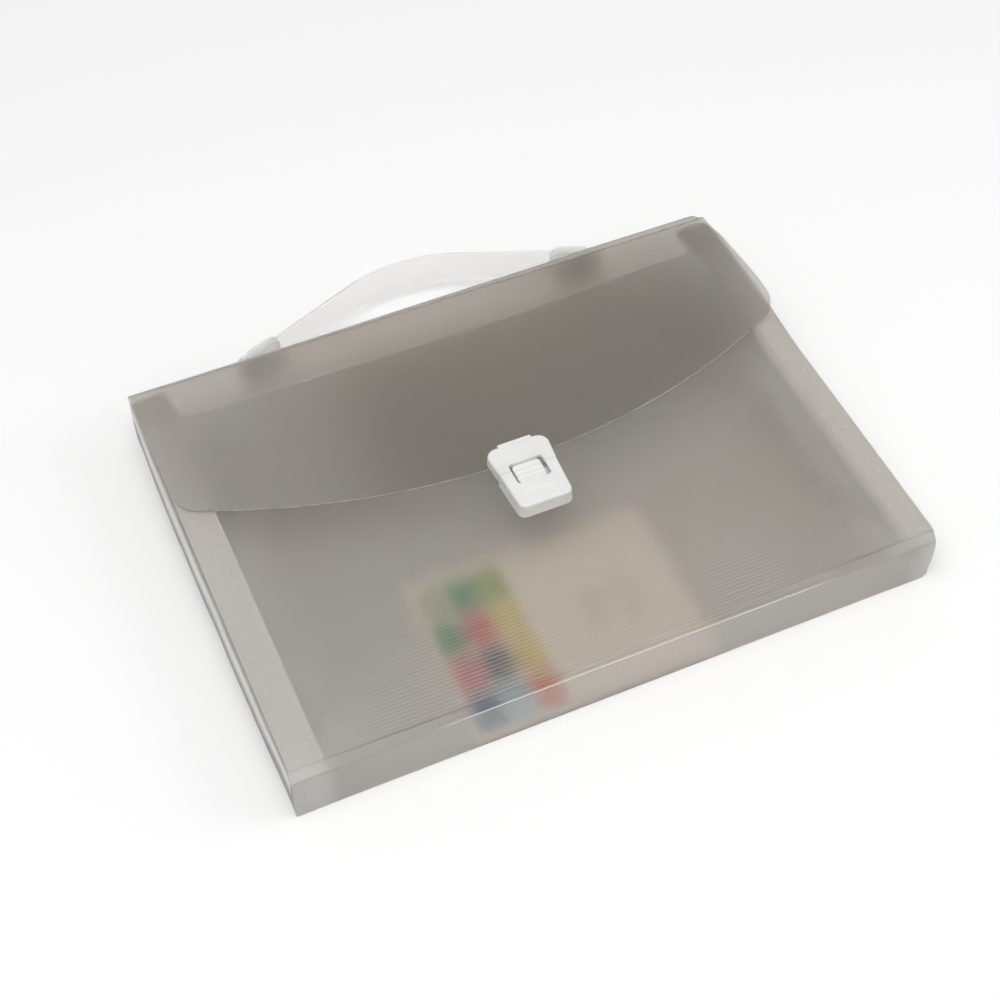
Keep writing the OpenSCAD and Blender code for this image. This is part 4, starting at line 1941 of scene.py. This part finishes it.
@dataclass(frozen=True)
class Seat:
    """Where pieces join one body of the frame."""

    body: Body
    slot: str

    def fit(self, piece: Piece, *nodes: str) -> None:
        """Makes a piece ride on the body and stand for its nodes."""
        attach(piece, self.body.value)
        self._settle(piece, nodes)

    def bend(
        self, piece: Piece, node: str, onto: Body, start: Point, end: Point
    ) -> None:
        """Bakes a piece's placement into its mesh and lets it stand for its node.

        Args:
            piece: The piece.
            node: The node that it stands for.
            onto: The second body; not used.
            start: Y and Z where it leaves the first body, in millimetres; not used.
            end: Y and Z where it has joined the second; not used.
        """
        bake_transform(piece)
        self._settle(piece, (node,))

    def _settle(self, piece: Piece, nodes: Sequence[str]) -> None:
        """Hides the nodes that a piece replaces, and reports it.

        Args:
            piece: The piece.
            nodes: The nodes that it replaces.
        """
        if nodes:
            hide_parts(*nodes)
        LOG.info("%s: %d faces on %s", piece.name, len(piece.data.polygons), self.body.value)


def build_sheets() -> None:
    """The folded sheet: case, spine, strip and flap."""
    nodes = ("back_panel", "bottom_wall", "bottom_bevel", "front_panel")
    Seat(Body.CASE, "case_sheet").fit(CaseSheet().build(), *nodes)
    for sheet, body, onto, node, start, end in (
        (SpineSheet(), Body.CASE, Body.SPINE, "spine_panel", (122.2, 0.1), (122.7, 0.9)),
        (BevelSheet(), Body.SPINE, Body.BEVEL, "spine_bevel", (122.2, 30.0), (121.5, 30.0)),
        (FlapSheet(), Body.BEVEL, Body.FLAP, "flap_panel", (118.8, 34.1), (118.1, 34.35)),
    ):
        Seat(body, "case_sheet").bend(sheet.build(), node, onto, start, end)


def build_gussets() -> None:
    """The side films and their fused spots."""
    for side in Side:
        parts = ("front_flange", "front_leaf", "back_leaf", "back_flange")
        nodes = (f"gusset_{part}_{side.word}" for part in parts)
        Seat(Body.CASE, "gusset_sheet").fit(Gusset(side).build(), *nodes)
        for face, level in (("front", 33.0), ("back", 1.3)):
            spots = WeldRows(side, level, f"{face}_spots_{side.word}").build()
            Seat(Body.CASE, "weld_mark").fit(spots, f"{face}_welds_{side.word}")


def build_latch() -> None:
    """Lock, hasp and button."""
    latch = Latch()
    for make, body, nodes in (
        (latch.lock, Body.CASE, ("lock_body",)),
        (latch.hasp, Body.FLAP, ("hasp",)),
        (latch.bar, Body.FLAP, ()),
        (latch.catch, Body.FLAP, ()),
        (latch.button, Body.BUTTON, ("slide_button",)),
    ):
        Seat(body, "white_moulding").fit(make(), *nodes)
    dress_nodes(("hasp_plate", "lock_plate"), WHITE)


def build_handle() -> None:
    """Strap, sleeves, feet and the plates behind the spine."""
    handle, seat = Handle(), Seat(Body.SPINE, "handle_plastic")
    start, end = (handle.boss_y + 4.0, handle.middle), (handle.crown_y, handle.middle)
    seat.bend(handle.strap(), "handle_strap", Body.STRAP, start, end)
    for side in Side:
        seat.fit(handle.cap(side), f"handle_cap_{side.word}")
        seat.fit(handle.base(side), f"handle_base_{side.word}")
    dress_nodes(("handle_plate_left", "handle_plate_right"), FOOT_WHITE)


def dress_nodes(names: Sequence[str], finish: Finish) -> None:
    """Gives nodes that keep their own shape a finish.

    Args:
        names: The names of the nodes.
        finish: Their finish.
    """
    for name in names:
        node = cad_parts[name]
        node.data.materials.clear()
        node.data.materials.append(finish.material())
        LOG.info("%s: kept, with a new finish", name)


def main() -> None:
    """Builds the studio and the case, and reports each piece."""
    logging.basicConfig(level=logging.INFO, format="%(message)s")
    Studio().build()
    build_sheets()
    build_gussets()
    build_latch()
    build_handle()
    Seat(Body.CARD, "printed_card").fit(Card().build(), "insert_card")


if __name__ == "__main__":
    main()
